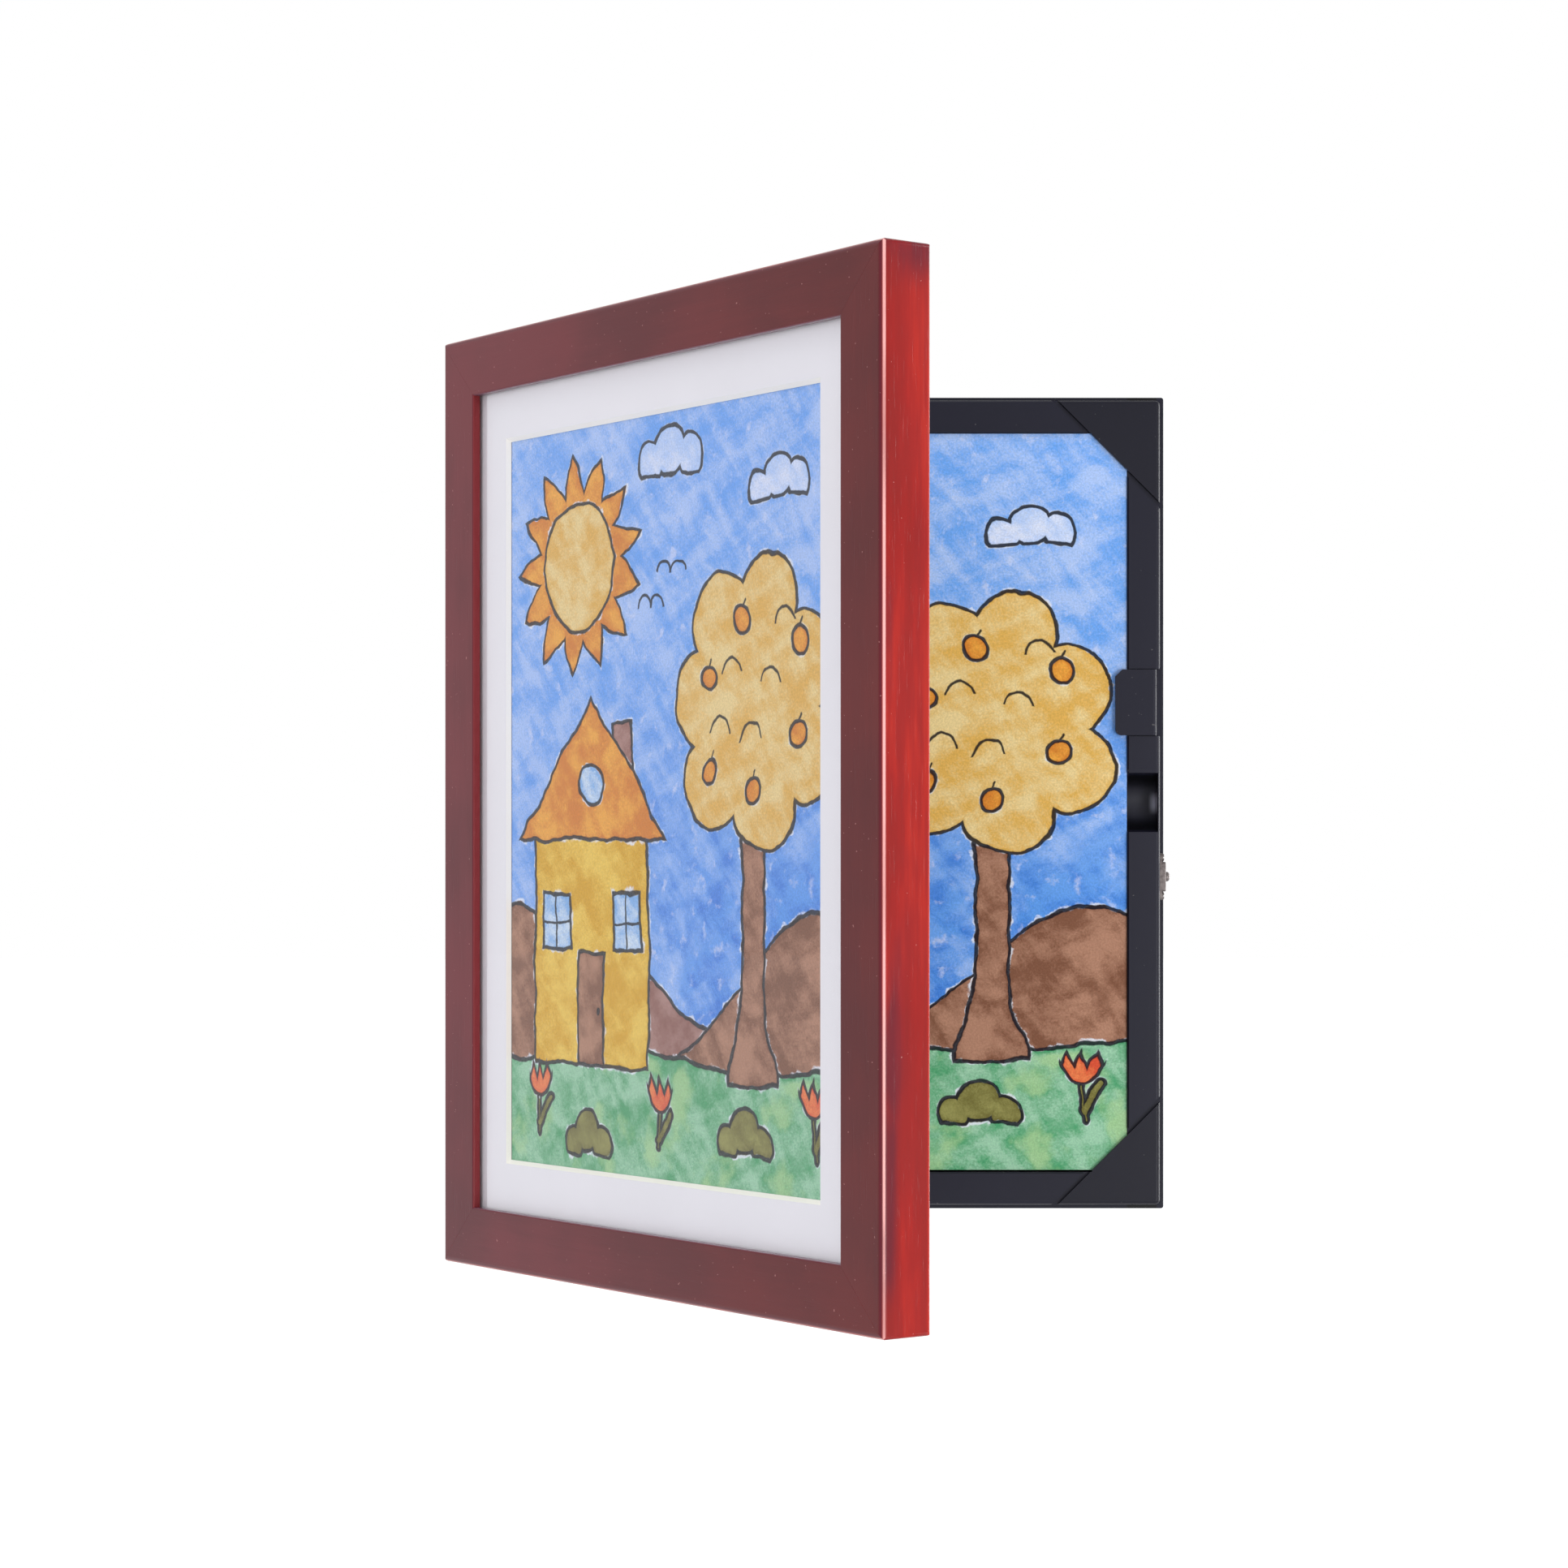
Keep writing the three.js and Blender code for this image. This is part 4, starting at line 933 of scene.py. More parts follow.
    def build_side_tab(self) -> None:
        """Builds the slide that holds the sheets' right edge."""
        low, high = self.tab_z
        tip, outer = self.tab_x
        tab = block("tab", self.tab_x, self.tab_y, self.tab_z)
        drop, reach = self.tab_slope
        slice_off(tab, Vector((tip, 0, high - drop * MM)), Vector((-drop, 0, reach)))
        round_edges(tab, every(along(Way.Y), level(Way.X, tip), level(Way.Z, low)), 2.4 * MM, 6)
        round_edges(tab, every(level(Way.Y, self.tab_y[0]), level(Way.X, outer)), 1.3 * MM, 5)
        foot_x = (self.foot_start, outer)
        foot_back = self.tab_y[1] + MM
        foot = block("foot", foot_x, (self.tab_y[1] - 0.5 * MM, foot_back), self.tab_z)
        lips_y = (self.tab_y[1] + 0.1 * MM, foot_back)
        lips = block("lips", foot_x, lips_y, (low - self.lip, high + self.lip))
        combine(tab, Join.ADD, foot, lips)
        soften(tab, 0.25 * MM, 3)
        put(tab, self.finishes.tray_plastic, "side_tab", body=Body.TAB)

    def build(self) -> None:
        """Builds the tray and what is fitted to its front."""
        put(self.body(), self.finishes.tray_plastic, "tray")
        self.build_corner_plates()
        self.build_side_tab()


@dataclass
class Storage:
    """The sheets in the tray, the plate behind them and its springs."""

    finishes: Finishes
    front_sheet: Span = mm(-18.3, -18)
    stack: Span = mm(-17.9, -12.3)
    plate: Span = mm(-12.2, -9.7)
    spring_y: Span = mm(-9.6, -3)
    spring_radius: float = 5 * MM
    wire: float = 0.55 * MM
    leaves: int = 14
    turns: int = 4
    plate_travel: float = 4.8 * MM
    play: float = 0.3 * MM
    plate_size: Span = mm(216.3, 279.8)
    plate_skin: float = 1.3 * MM
    hole_size: Span = mm(67, 88)
    hole_pitch: Span = mm(71, 92)
    seat_radius: float = 6.2 * MM

    def stored_sheets(self) -> Piece:
        """The stack of sheets, whose edges don't quite line up."""
        pitch = (self.stack[1] - self.stack[0]) / self.leaves
        sheets = []
        for index in range(self.leaves):
            front = self.stack[0] + index * pitch
            back = front + pitch * (1 if index == self.leaves - 1 else 0.9)
            width, height = (side - 2 * self.play for side in (SHEET_WIDTH, SHEET_HEIGHT))
            sheet = slab("sheet", width, height, (front, back))
            shift = (self.play * math.sin(2.4 * index), 0, self.play * math.cos(3.7 * index))
            sheets.append(move(sheet, Matrix.Translation(shift)))
        return joined(sheets)

    def pressure_plate(self) -> Piece:
        """The plate that the springs press on, ribbed at its back."""
        width, height = self.plate_size
        skin_back = self.plate[0] + self.plate_skin
        plate = slab("plate", width, height, (self.plate[0], skin_back), 2.5 * MM, 0.3 * MM)
        rib_y = (self.plate[0] + self.plate_skin / 2, self.plate[1])
        ribs = slab("ribs", width - 2 * MM, height - 2 * MM, rib_y, 2 * MM)
        cuts = []
        for x, z in product(*((-pitch, 0, pitch) for pitch in self.hole_pitch)):
            hole = slab("hole", *self.hole_size, (skin_back, self.plate[1] + MM), 3 * MM)
            cuts.append(move(hole, Matrix.Translation((x, 0, z))))
        combine(ribs, Join.CUT, *cuts)
        combine(plate, Join.ADD, ribs)
        for across in at_springs().values():
            combine(plate, Join.ADD, rod("seat", self.seat_radius, Way.Y, rib_y, across, 32))
        return plate

    def build(self) -> None:
        """Builds the sheets, the plate and its four springs."""
        front = paper(self.front_sheet, 0.12 * MM, 1.2 * MM)
        put(front, self.finishes.stored_print, "front_sheet", body=Body.SHEETS)
        put(self.stored_sheets(), self.finishes.paper, "stored_sheets", body=Body.SHEETS)
        plate = self.pressure_plate()
        put(plate, self.finishes.tray_plastic, "pressure_plate", body=Body.SHEETS)
        length = self.spring_y[1] - self.spring_y[0]
        first = coil(self.spring_radius, self.wire, length, self.turns)
        to_wall = Matrix.Rotation(QUARTER, 4, "X")
        for name, (x, z) in at_springs().items():
            spring = twin(first, Matrix.Translation((x, self.spring_y[1], z)) @ to_wall)
            put(spring, self.finishes.spring_steel, f"plate_spring_{name}")
            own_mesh(spring)
        bpy.data.objects.remove(first)


def coil(radius: float, wire: float, length: float, turns: int) -> Piece:
    """Winds a round wire into a spring that stands on its end at the origin.

    Args:
        radius: Its outer radius.
        wire: The radius of its wire.
        length: Its height.
        turns: How many turns it has.

    Returns:
        The spring, along Z.
    """
    bpy.ops.mesh.primitive_circle_add(radius=wire, vertices=8, rotation=(QUARTER, 0, 0))
    spring = bpy.context.object
    spring.location = (radius - wire, 0, wire)
    settle(spring)
    winding = spring.modifiers.new("winding", "SCREW")
    winding.angle = 4 * QUARTER
    winding.steps = 18
    winding.render_steps = 18
    winding.iterations = turns
    winding.screw_offset = (length - 2 * wire) / turns
    winding.use_merge_vertices = False
    apply(spring, winding)
    with editing(spring, "SELECT"):
        bpy.ops.mesh.fill_holes(sides=0)
        bpy.ops.mesh.select_all(action="SELECT")
        bpy.ops.mesh.normals_make_consistent(inside=False)
    return spring


@dataclass
class Catch:
    """The sprung catch let into the tray's right side."""

    finishes: Finishes
    length: float = 18 * MM
    width: float = 6 * MM
    base: float = 1 * MM
    block_length: float = 11.3 * MM
    block_out: float = 2.35 * MM
    barrel_radius: float = 2.5 * MM
    barrel_length: float = 9 * MM
    nub_radius: float = 1.85 * MM
    nub_tip: float = 125.1 * MM
    nub_body: float = 6 * MM
    screw_place: float = 7.325 * MM
    travel: float = 1.5 * MM
    spring_radius: float = 1.5 * MM
    wire: float = 0.22 * MM
    turns: int = 5
    screw_head: Span = mm(1.4, 0.9)
    screw_shank: Span = mm(0.8, 6)

    def body(self) -> Piece:
        """The catch's base, block and barrel in one."""
        side = TRAY_WIDTH / 2
        y = around(CATCH_Y, self.width / 2)
        half = self.length / 2
        base = block("catch", (side, side + self.base), y, around(CATCH_Z, half))
        round_edges(base, along(Way.X), 1.6 * MM, 5)
        half = self.block_length / 2
        out = side + self.block_out
        body = block("body", (side + self.base / 2, out), y, around(CATCH_Z, half))
        round_edges(body, along(Way.X), 0.9 * MM, 4)
        combine(base, Join.ADD, body)
        round_edges(base, level(Way.X, out), 0.4 * MM, 3)
        across = (CATCH_Y, CATCH_Z)
        span = (side - self.barrel_length, side + self.base / 2)
        combine(base, Join.ADD, rod("barrel", self.barrel_radius, Way.X, span, across, 28))
        bore = (side - self.barrel_length + MM, out + MM)
        combine(base, Join.CUT, rod("bore", self.nub_radius + 0.1 * MM, Way.X, bore, across, 32))
        return base

    def nub(self) -> Piece:
        """The round-nosed nub."""
        span = (self.nub_tip - self.nub_radius - self.nub_body, self.nub_tip)
        nub = rod("nub", self.nub_radius, Way.X, span, (CATCH_Y, CATCH_Z), 32)
        return round_edges(nub, level(Way.X, self.nub_tip), 1.1 * MM, 6)

    def build(self) -> None:
        """Builds the catch's body, nub, spring and screws."""
        put(self.body(), self.finishes.catch_metal, "catch_body")
        put(self.nub(), self.finishes.catch_metal, "catch_nub", body=Body.NUB)
        start = TRAY_WIDTH / 2 - self.barrel_length + MM
        length = self.nub_tip - self.nub_radius - self.nub_body - start - 0.1 * MM
        spring = coil(self.spring_radius, self.wire, length, self.turns)
        move(spring, Matrix.Translation((start, CATCH_Y, CATCH_Z)) @ Matrix.Rotation(QUARTER, 4, "Y"))
        put(spring, self.finishes.spring_steel, "catch_spring")
        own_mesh(spring)
        face = TRAY_WIDTH / 2 + self.base + self.screw_head[1]
        for name, side in ENDS.items():
            across = (CATCH_Y, CATCH_Z + side * self.screw_place)
            fastener = screw(Way.X, face, -1, across, self.screw_head, self.screw_shank)
            put(fastener, self.finishes.catch_metal, f"catch_screw_{name}")


@dataclass
class Hinges:
    """The two butt hinges, modelled once at the upper place."""

    finishes: Finishes
    length: float = 40 * MM
    middle: float = 15 * MM
    knuckle: float = 2 * MM
    knuckle_gap: float = 0.3 * MM
    pin: float = 1 * MM
    pin_head: float = 1.7 * MM
    leaf: float = 1.1 * MM
    ear_front: float = -8.3 * MM
    door_leaf_front: float = -10.8 * MM
    tray_leaf_width: float = 9.01 * MM
    door_leaf_width: float = 6.96 * MM
    screw_edge: float = 2.6 * MM
    screw_spread: float = 12 * MM
    screw_head: Span = mm(1.7, 0.6)
    screw_shank: Span = mm(0.9, 5)
    sink: Span = mm(1.95, 0.75)

    def leaf_with(self, width: float, y: Span, outer: bool) -> Piece:
        """One leaf with its knuckles, round the upper place.

        Args:
            width: How far it reaches from the pin.
            y: Its front and back.
            outer: Whether it has the two outer knuckles, and not the middle one.

        Returns:
            The leaf, bored for the pin and sunk for its screws.
        """
        half = self.length / 2
        inner = self.middle / 2
        z = HINGE_PLACE
        leaf = block("leaf", (HINGE_X, HINGE_X + width), y, around(z, half))
        round_edges(leaf, every(along(Way.Y), lambda a, b: a.x > HINGE_X + MM), 1.2 * MM, 4)
        reach = self.knuckle + self.knuckle_gap
        gap = self.knuckle_gap
        if outer:
            windows = [around(z, inner + gap)]
            knuckles = [(z - half, z - inner - gap), (z + inner + gap, z + half)]
        else:
            windows = [(z - half - MM, z - inner), (z + inner, z + half + MM)]
            knuckles = [around(z, inner)]
        for span in windows:
            x, y_room = (around(middle, reach) for middle in HINGE_PIN)
            combine(leaf, Join.CUT, block("window", x, y_room, span))
        for span in knuckles:
            tube = rod("knuckle", self.knuckle, Way.Z, span, HINGE_PIN, 32)
            for end in span:
                round_edges(tube, level(Way.Z, end), 0.2 * MM, 2)
            combine(leaf, Join.ADD, tube)
        bore = rod("bore", self.pin + 0.1 * MM, Way.Z, around(z, half + MM), HINGE_PIN, 24)
        combine(leaf, Join.CUT, bore)
        showing = y[0] if outer else y[1]
        for end in (1, -1):
            place = (HINGE_X + width - self.screw_edge, z + end * self.screw_spread)
            radius, depth = self.sink
            combine(leaf, Join.CUT, rod("sink", radius, Way.Y, around(showing, depth), place, 24))
        return leaf

    def fastener(self, width: float, z: float, showing: float, inwards: float) -> Piece:
        """One screw of a leaf.

        Args:
            width: How far the leaf reaches from the pin.
            z: The screw's height.
            showing: Where the leaf's showing face lies.
            inwards: 1 or -1, the side that the screw's tip points to.

        Returns:
            The screw, sunk a little below that face.
        """
        across = (HINGE_X + width - self.screw_edge, z)
        face = showing + inwards * 0.05 * MM
        return screw(Way.Y, face, inwards, across, self.screw_head, self.screw_shank)

    def pin_shape(self) -> Piece:
        """The pin with its domed head, at the upper place."""
        low, top = around(HINGE_PLACE, self.length / 2)
        pin = rod("pin", self.pin, Way.Z, (low, top + 0.4 * MM), HINGE_PIN, 24)
        head = rod("head", self.pin_head, Way.Z, (top + 0.1 * MM, top + 0.8 * MM), HINGE_PIN, 32)
        round_edges(head, level(Way.Z, top + 0.8 * MM), 0.5 * MM, 4)
        return combine(pin, Join.ADD, head)

    def build(self) -> None:
        """Builds both hinges with their pins and screws."""
        steel = self.finishes.steel
        tray_y = (self.ear_front - self.leaf, self.ear_front)
        door_y = (self.door_leaf_front, self.door_leaf_front + self.leaf)
        tray_leaf = self.leaf_with(self.tray_leaf_width, tray_y, True)
        door_leaf = self.leaf_with(self.door_leaf_width, door_y, False)
        pin = self.pin_shape()
        for name, drop in (("upper", 0.0), ("lower", -2 * HINGE_PLACE)):
            down = Matrix.Translation((0, 0, drop))
            put(twin(tray_leaf, down), steel, f"{name}_hinge_tray_leaf")
            put(twin(pin, down), steel, f"{name}_hinge_pin")
            put_on_door(twin(door_leaf, down), steel, f"{name}_hinge_door_leaf")
            for which, end in ENDS.items():
                z = HINGE_PLACE + drop + end * self.screw_spread
                fastener = self.fastener(self.tray_leaf_width, z, tray_y[0], 1)
                put(fastener, steel, f"{name}_hinge_tray_screw_{which}")
                fastener = self.fastener(self.door_leaf_width, z, door_y[1], -1)
                put_on_door(fastener, steel, f"{name}_hinge_door_screw_{which}")
        for piece in (tray_leaf, door_leaf, pin):
            bpy.data.objects.remove(piece)


@dataclass
class Hangers:
    """The two sawtooth hangers in the tray's back."""

    finishes: Finishes
    length: float = 44 * MM
    height: float = 7 * MM
    back: float = -0.5 * MM
    thickness: float = 0.9 * MM
    foot: float = 7 * MM
    foot_front: float = -2.6 * MM
    tooth: float = 1.6 * MM
    teeth: int = 11
    nail_radius: float = 1.6 * MM
    nail_head: float = 0.4 * MM
    nail_shank: float = 0.7 * MM
    nail_length: float = 7 * MM

    @staticmethod
    def places() -> dict[str, Matrix]:
        """Where each hanger goes, from the middle of the tray's back."""
        side = Matrix.Translation((-114.95 * MM, 0, 0)) @ Matrix.Rotation(QUARTER, 4, "Y")
        return {"portrait": Matrix.Translation((0, 0, 146.7 * MM)), "landscape": side}

    def hanger(self) -> Piece:
        """The toothed strip on its two feet, at the middle of the tray."""
        half = self.length / 2
        inner = half - self.foot
        low = -self.height / 2
        front = self.back - self.thickness
        strip = block("hanger", (-half, half), (front, self.back), (low, -low))
        step = inner / self.teeth
        cuts = [-inner + step * index for index in range(2 * self.teeth + 1)]
        for x in cuts:
            score(strip, Vector((x, 0, 0)), Vector((1, 0, 0)))
        with editing(strip):
            pick_edges(strip, every(level(Way.Z, low), level(Way.X, *cuts[1::2])))
            bpy.ops.transform.translate(value=(0, 0, self.tooth))
        for side in (1, -1):
            middle = side * (half - self.foot / 2)
            x = around(middle, self.foot / 2)
            combine(strip, Join.ADD, block("foot", x, (self.foot_front, self.back), (low, -low)))
        ends = every(along(Way.Y), lambda a, b: abs(a.x) > half - 0.1 * MM)
        round_edges(strip, ends, 0.9 * MM, 4)
        return strip

    def build(self) -> None:
        """Builds both hangers and their nails."""
        first = self.hanger()
        for name, matrix in self.places().items():
            hanger = twin(first, matrix)
            put(hanger, self.finishes.steel, f"{name}_hanger")
            for which, side in ENDS.items():
                across = (side * (self.length - self.foot) / 2, 0)
                head_face = self.back + self.nail_head
                nail = rod("nail", self.nail_radius, Way.Y, (self.back, head_face), across, 28)
                round_edges(nail, level(Way.Y, head_face), 0.3 * MM, 4)
                span = (self.back - self.nail_length, self.back + self.nail_head / 2)
                combine(nail, Join.ADD, rod("shank", self.nail_shank, Way.Y, span, across, 16))
                move(nail, matrix)
                put(nail, self.finishes.steel, f"{name}_hanger_nail_{which}")
        bpy.data.objects.remove(first)


class Graph:
    """A node tree, with short ways to add and join its nodes."""

    def __init__(self, tree: bpy.types.NodeTree) -> None:
        """Starts on an empty tree."""
        self.tree = tree
        self.tree.nodes.clear()

    @classmethod
    def of_material(cls, name: str) -> tuple[Graph, Material]:
        """Makes a new material and the graph of its tree."""
        material = bpy.data.materials.new(name)
        material.use_nodes = True
        return cls(material.node_tree), material

    def add(self, kind: str, inputs: Inputs | None = None, **settings: object) -> Node:
        """Adds a node.

        Args:
            kind: The node's type, without ShaderNode in front.
            inputs: A constant or a socket for each input, by name or number.
            settings: The node's own settings.

        Returns:
            The node.
        """
        node = self.tree.nodes.new(f"ShaderNode{kind}")
        for name, value in settings.items():
            setattr(node, name, value)
        for name, value in (inputs or {}).items():
            self.feed(node.inputs[name], value)
        return node

    def feed(self, target: Socket, value: object) -> None:
        """Joins a socket to an input, or sets the input to a constant.

        Args:
            target: The input.
            value: The socket or the constant. A colour may go without its fourth number.
        """
        if isinstance(value, Socket):
            self.tree.links.new(value, target)
        elif target.type == "RGBA" and isinstance(value, tuple) and len(value) == 3:
            target.default_value = (*value, 1)
        else:
            target.default_value = value

    def math(self, operation: str, *values: Socket | float, clamp: bool = False) -> Socket:
        """One step of arithmetic on numbers."""
        node = self.add("Math", operation=operation, use_clamp=clamp)
        for slot, value in zip(node.inputs, values):
            self.feed(slot, value)
        return node.outputs[0]

    def times(self, *values: Socket | float) -> Socket:
        """The product of two or more numbers."""
        return reduce(partial(self.math, "MULTIPLY"), values)

    def minus(self, value: Socket | float, less: Socket | float) -> Socket:
        """One number less another."""
        return self.math("SUBTRACT", value, less)

    def scaled(self, value: Socket, share: Socket | float, base: Socket | float) -> Socket:
        """A share of a number, on top of a base."""
        return self.math("MULTIPLY_ADD", value, share, base)

    def size(self, value: Socket) -> Socket:
        """A number without its sign."""
        return self.math("ABSOLUTE", value)

    def least(self, *values: Socket | float) -> Socket:
        """The least of some numbers. Of distances to shapes, it is the distance to their union."""
        return reduce(partial(self.math, "MINIMUM"), values)

    def most(self, *values: Socket | float) -> Socket:
        """The greatest of some numbers. Of distances to shapes, it is the one to what they share."""
        return reduce(partial(self.math, "MAXIMUM"), values)

    def vector(self, operation: str, *values: object) -> Socket:
        """One step of arithmetic on vectors.

        Args:
            operation: The step's name in Blender.
            values: A constant or a socket for each input that the step has.

        Returns:
            Its result.
        """
        node = self.add("VectorMath", operation=operation)
        slots = [s for s in node.inputs if s.enabled]
        for slot, value in zip(slots, values):
            self.feed(slot, value)
        outputs = [s for s in node.outputs if s.enabled]
        return outputs[0]

    def split(self, vector: Socket) -> tuple[Socket, Socket, Socket]:
        """The three numbers of a vector."""
        node = self.add("SeparateXYZ", {0: vector})
        return node.outputs[0], node.outputs[1], node.outputs[2]

    def mix(self, share: Socket | float, low: Socket | Colour, high: Socket | Colour) -> Socket:
        """Blends two colours by a share."""
        node = self.add("Mix", data_type="RGBA")
        self.feed(node.inputs[0], share)
        self.feed(node.inputs[6], low)
        self.feed(node.inputs[7], high)
        return node.outputs[2]

    def step(self, value: Socket, start: float, end: float, low: float = 0, high: float = 1) -> Socket:
        """A smooth step from low to high as a value goes from start to end."""
        node = self.add("MapRange", interpolation_type="SMOOTHSTEP")
        for slot, number in zip(node.inputs, (value, start, end, low, high)):
            self.feed(slot, number)
        return node.outputs[0]

    def noise(self, vector: Socket, scale: float, detail: float = 2, rough: float = 0.5) -> Socket:
        """Cloudy noise, as a number round a half."""
        inputs = {"Vector": vector, "Scale": scale, "Detail": detail, "Roughness": rough}
        return self.add("TexNoise", inputs).outputs[0]

    def bump(self, height: Socket, distance: float, strength: float = 1) -> Socket:
        """A normal from a height, where a height of 1 stands as high as the distance."""
        inputs = {"Height": height, "Distance": distance, "Strength": strength}
        return self.add("Bump", inputs).outputs[0]

    def place(self, on_door: bool, scale: Sequence[float] = (1, 1, 1)) -> Socket:
        """Where a point of the piece is, in metres.

        Args:
            on_door: Whether the piece is on the door, and is read as if the door were shut.
            scale: What the three numbers are multiplied by.

        Returns:
            The place.
        """
        spot = self.add("TexCoord").outputs["Object"]
        if on_door:
            back = turn_about_hinge(DOOR_ANGLE)
            shut = self.add("Mapping", {"Vector": spot})
            shut.inputs["Location"].default_value = back.to_translation()
            shut.inputs["Rotation"].default_value = back.to_euler()
            spot = shut.outputs[0]
        if tuple(scale) == (1, 1, 1):
            return spot
        return self.vector("MULTIPLY", spot, tuple(scale))

    def facing(self) -> Socket:
        """Which way a piece of the door faces, read as if the door were shut."""
        normal = self.add("TexCoord").outputs["Normal"]
        shut = self.add("Mapping", {"Vector": normal}, vector_type="NORMAL")
        shut.inputs["Rotation"].default_value = (0, 0, DOOR_ANGLE)
        return shut.outputs[0]

    def surface(self, inputs: Inputs) -> None:
        """Adds the shader, with what its inputs get, and the output."""
        shader = self.add("BsdfPrincipled", inputs)
        output = self.add("OutputMaterial")
        self.tree.links.new(shader.outputs[0], output.inputs[0])


@dataclass(frozen=True)
class Finish:
    """A material, with the record's slot that it belongs to."""

    slot: Slot
    material: Material


@dataclass(frozen=True)
class Look:
    """What a finish looks like. Each kind paints its own."""

    name: str

    def paint(self, graph: Graph) -> None:
        """Fills the material's empty tree."""
        raise NotImplementedError

    def build(self, slot: Slot) -> Finish:
        """Makes the material for a slot."""
        graph, material = Graph.of_material(self.name)
        self.paint(graph)
        return Finish(slot, material)


@dataclass(frozen=True)
class StainedWood(Look):
    """Cherry-stained wood under a satin lacquer, with its grain along one direction, and with painted light
    and shade: faces are coloured brighter or darker by which way they face.
    """

    along: Way
    # front and latch_front: the front face, painted as shaded, and lighter and greyer towards the hinge side
    # as a painted reflection
    front: Colour = (0.148, 0.026, 0.034)
    latch_front: Colour = (0.122, 0.0125, 0.0135)
    # side and glow: the outer sides, painted as if brightly lit by a lamp on the right
    side: Colour = (0.345, 0.003, 0.001)
    glow: Colour = (0.50, 0.015, 0.002)
    # shade: painted shade where the front edges turn away, and the colour of the darker streaks on the sides
    shade: Colour = (0.10, 0.003, 0.014)
    # lip: the walls round the opening, painted less lit than the sides, as painted shade
    lip: Colour = (0.19, 0.016, 0.020)
    # A painted reflection of the mat, on the top and bottom walls round the opening
    lip_mat_reflection: Colour = (0.16, 0.07, 0.10)
    # A painted highlight on the rounded front edges, and also the colour of the pale specks
    highlight_and_speck: Colour = (0.86, 0.42, 0.40)
    dark: Colour = (0.04, 0.004, 0.008)
    opening: float = 20 * MM
    roughness: float = 0.3
    gloss: float = 0.27
    grain: Noise = (420, 4, 0.65)
    pores: Noise = (1500, 2, 0.5)
    blotch: Noise = (62, 3, 0.55)
    cloud: Noise = (17, 3, 0.5)
    patch: Noise = (60, 2, 0.5)
    specks: Noise = (900, 1, 0.5)
    grain_height: float = 0.00002

    def paint(self, graph: Graph) -> None:
        """Lays the stain, the painted light and shade by which way a face looks, the painted edge highlight
        and the lacquer.

        Args:
            graph: The tree to fill.
        """
        spot = graph.place(True)
        fine = [1.0, 1.0, 1.0]
        fine[self.along.value] = 0.05
        slow = [1.0, 1.0, 1.0]
        slow[self.along.value] = 0.22
        _, facing_y, facing_z = graph.split(graph.facing())
        grain = graph.noise(graph.place(True, fine), *self.grain)
        pores = graph.step(graph.noise(graph.place(True, fine), *self.pores), 0.6, 0.72)
        blotch = graph.noise(graph.place(True, slow), *self.blotch)
        side = self.sides(graph, spot, grain, blotch)
        cloud = graph.noise(spot, *self.cloud)
        tone = graph.scaled(grain, 0.22, graph.scaled(blotch, 0.3, cloud))
        x, _, z = graph.split(spot)
        # The front is painted lighter and greyer towards the hinge side, as a painted reflection
        front = graph.mix(graph.step(x, -DOOR_WIDTH / 2, DOOR_WIDTH / 2), self.front, self.latch_front)
        front = graph.mix(graph.step(tone, 0.58, 0.96, 0.4, 0), front, self.dark)
        # Walls round the opening: painted shade, and on the top and bottom ones a painted reflection of the
        # mat
        inside = self.inside(graph, x, z)
        lying = graph.step(graph.size(facing_z), 0.6, 0.85)
        side = graph.mix(inside, side, graph.mix(lying, self.lip, self.lip_mat_reflection))
        # Painted light and shade: faces looking sideways take the painted lit side colour, faces looking
        # forward the shaded front colour
        colour = graph.mix(graph.step(facing_y, -0.95, -0.55, 1, 0), side, front)
        # Painted shade along the rounded front edges where they start to turn away
        painted_edge_shade = graph.times(self.band(graph, facing_y, -0.99, -0.76), 0.85)
        colour = graph.mix(painted_edge_shade, colour, self.shade)
        # A painted highlight on the rounded outer front edges, strongest on the latch side and broken up by
        # the blotch noise
        latch = graph.step(x, DOOR_WIDTH / 2 - 5 * MM, DOOR_WIDTH / 2 - 2 * MM, 0.3, 1.0)
        rim = graph.times(latch, graph.minus(1.0, inside))
        edge = graph.times(self.band(graph, facing_y, -0.78, -0.26), rim)
        painted_edge_highlight = graph.times(edge, graph.step(blotch, 0.2, 0.5, 0.45, 1.0))
        colour = graph.mix(painted_edge_highlight, colour, self.highlight_and_speck)
        # Pale specks, in the painted highlight's colour
        speck = graph.step(graph.noise(spot, *self.specks), 0.775, 0.8)
        colour = graph.mix(graph.times(speck, 0.3), colour, self.highlight_and_speck)
        height = graph.minus(graph.times(grain, 0.5), pores)
        roughness = graph.step(cloud, 0.2, 0.8, self.roughness, self.roughness + 0.1)
        polish = graph.times(lying, inside, 0.14)
        shader = {"Base Color": colour, "Roughness": graph.minus(roughness, polish)}
        shader["Normal"] = graph.bump(height, self.grain_height)
        graph.surface(shader | {"Specular IOR Level": self.gloss})

    def sides(self, graph: Graph, spot: Socket, grain: Socket, blotch: Socket) -> Socket:
        """The colour of the outer sides: painted as if brightly lit from the right, brighter still along the
        back edge, and darker in streaks and patches near the front and the ends.

        Args:
            graph: The material's graph.
            spot: Where a point is, on the shut door.
            grain: The fine grain.
            blotch: The slow variation along the grain.

        Returns:
            The colour.
        """
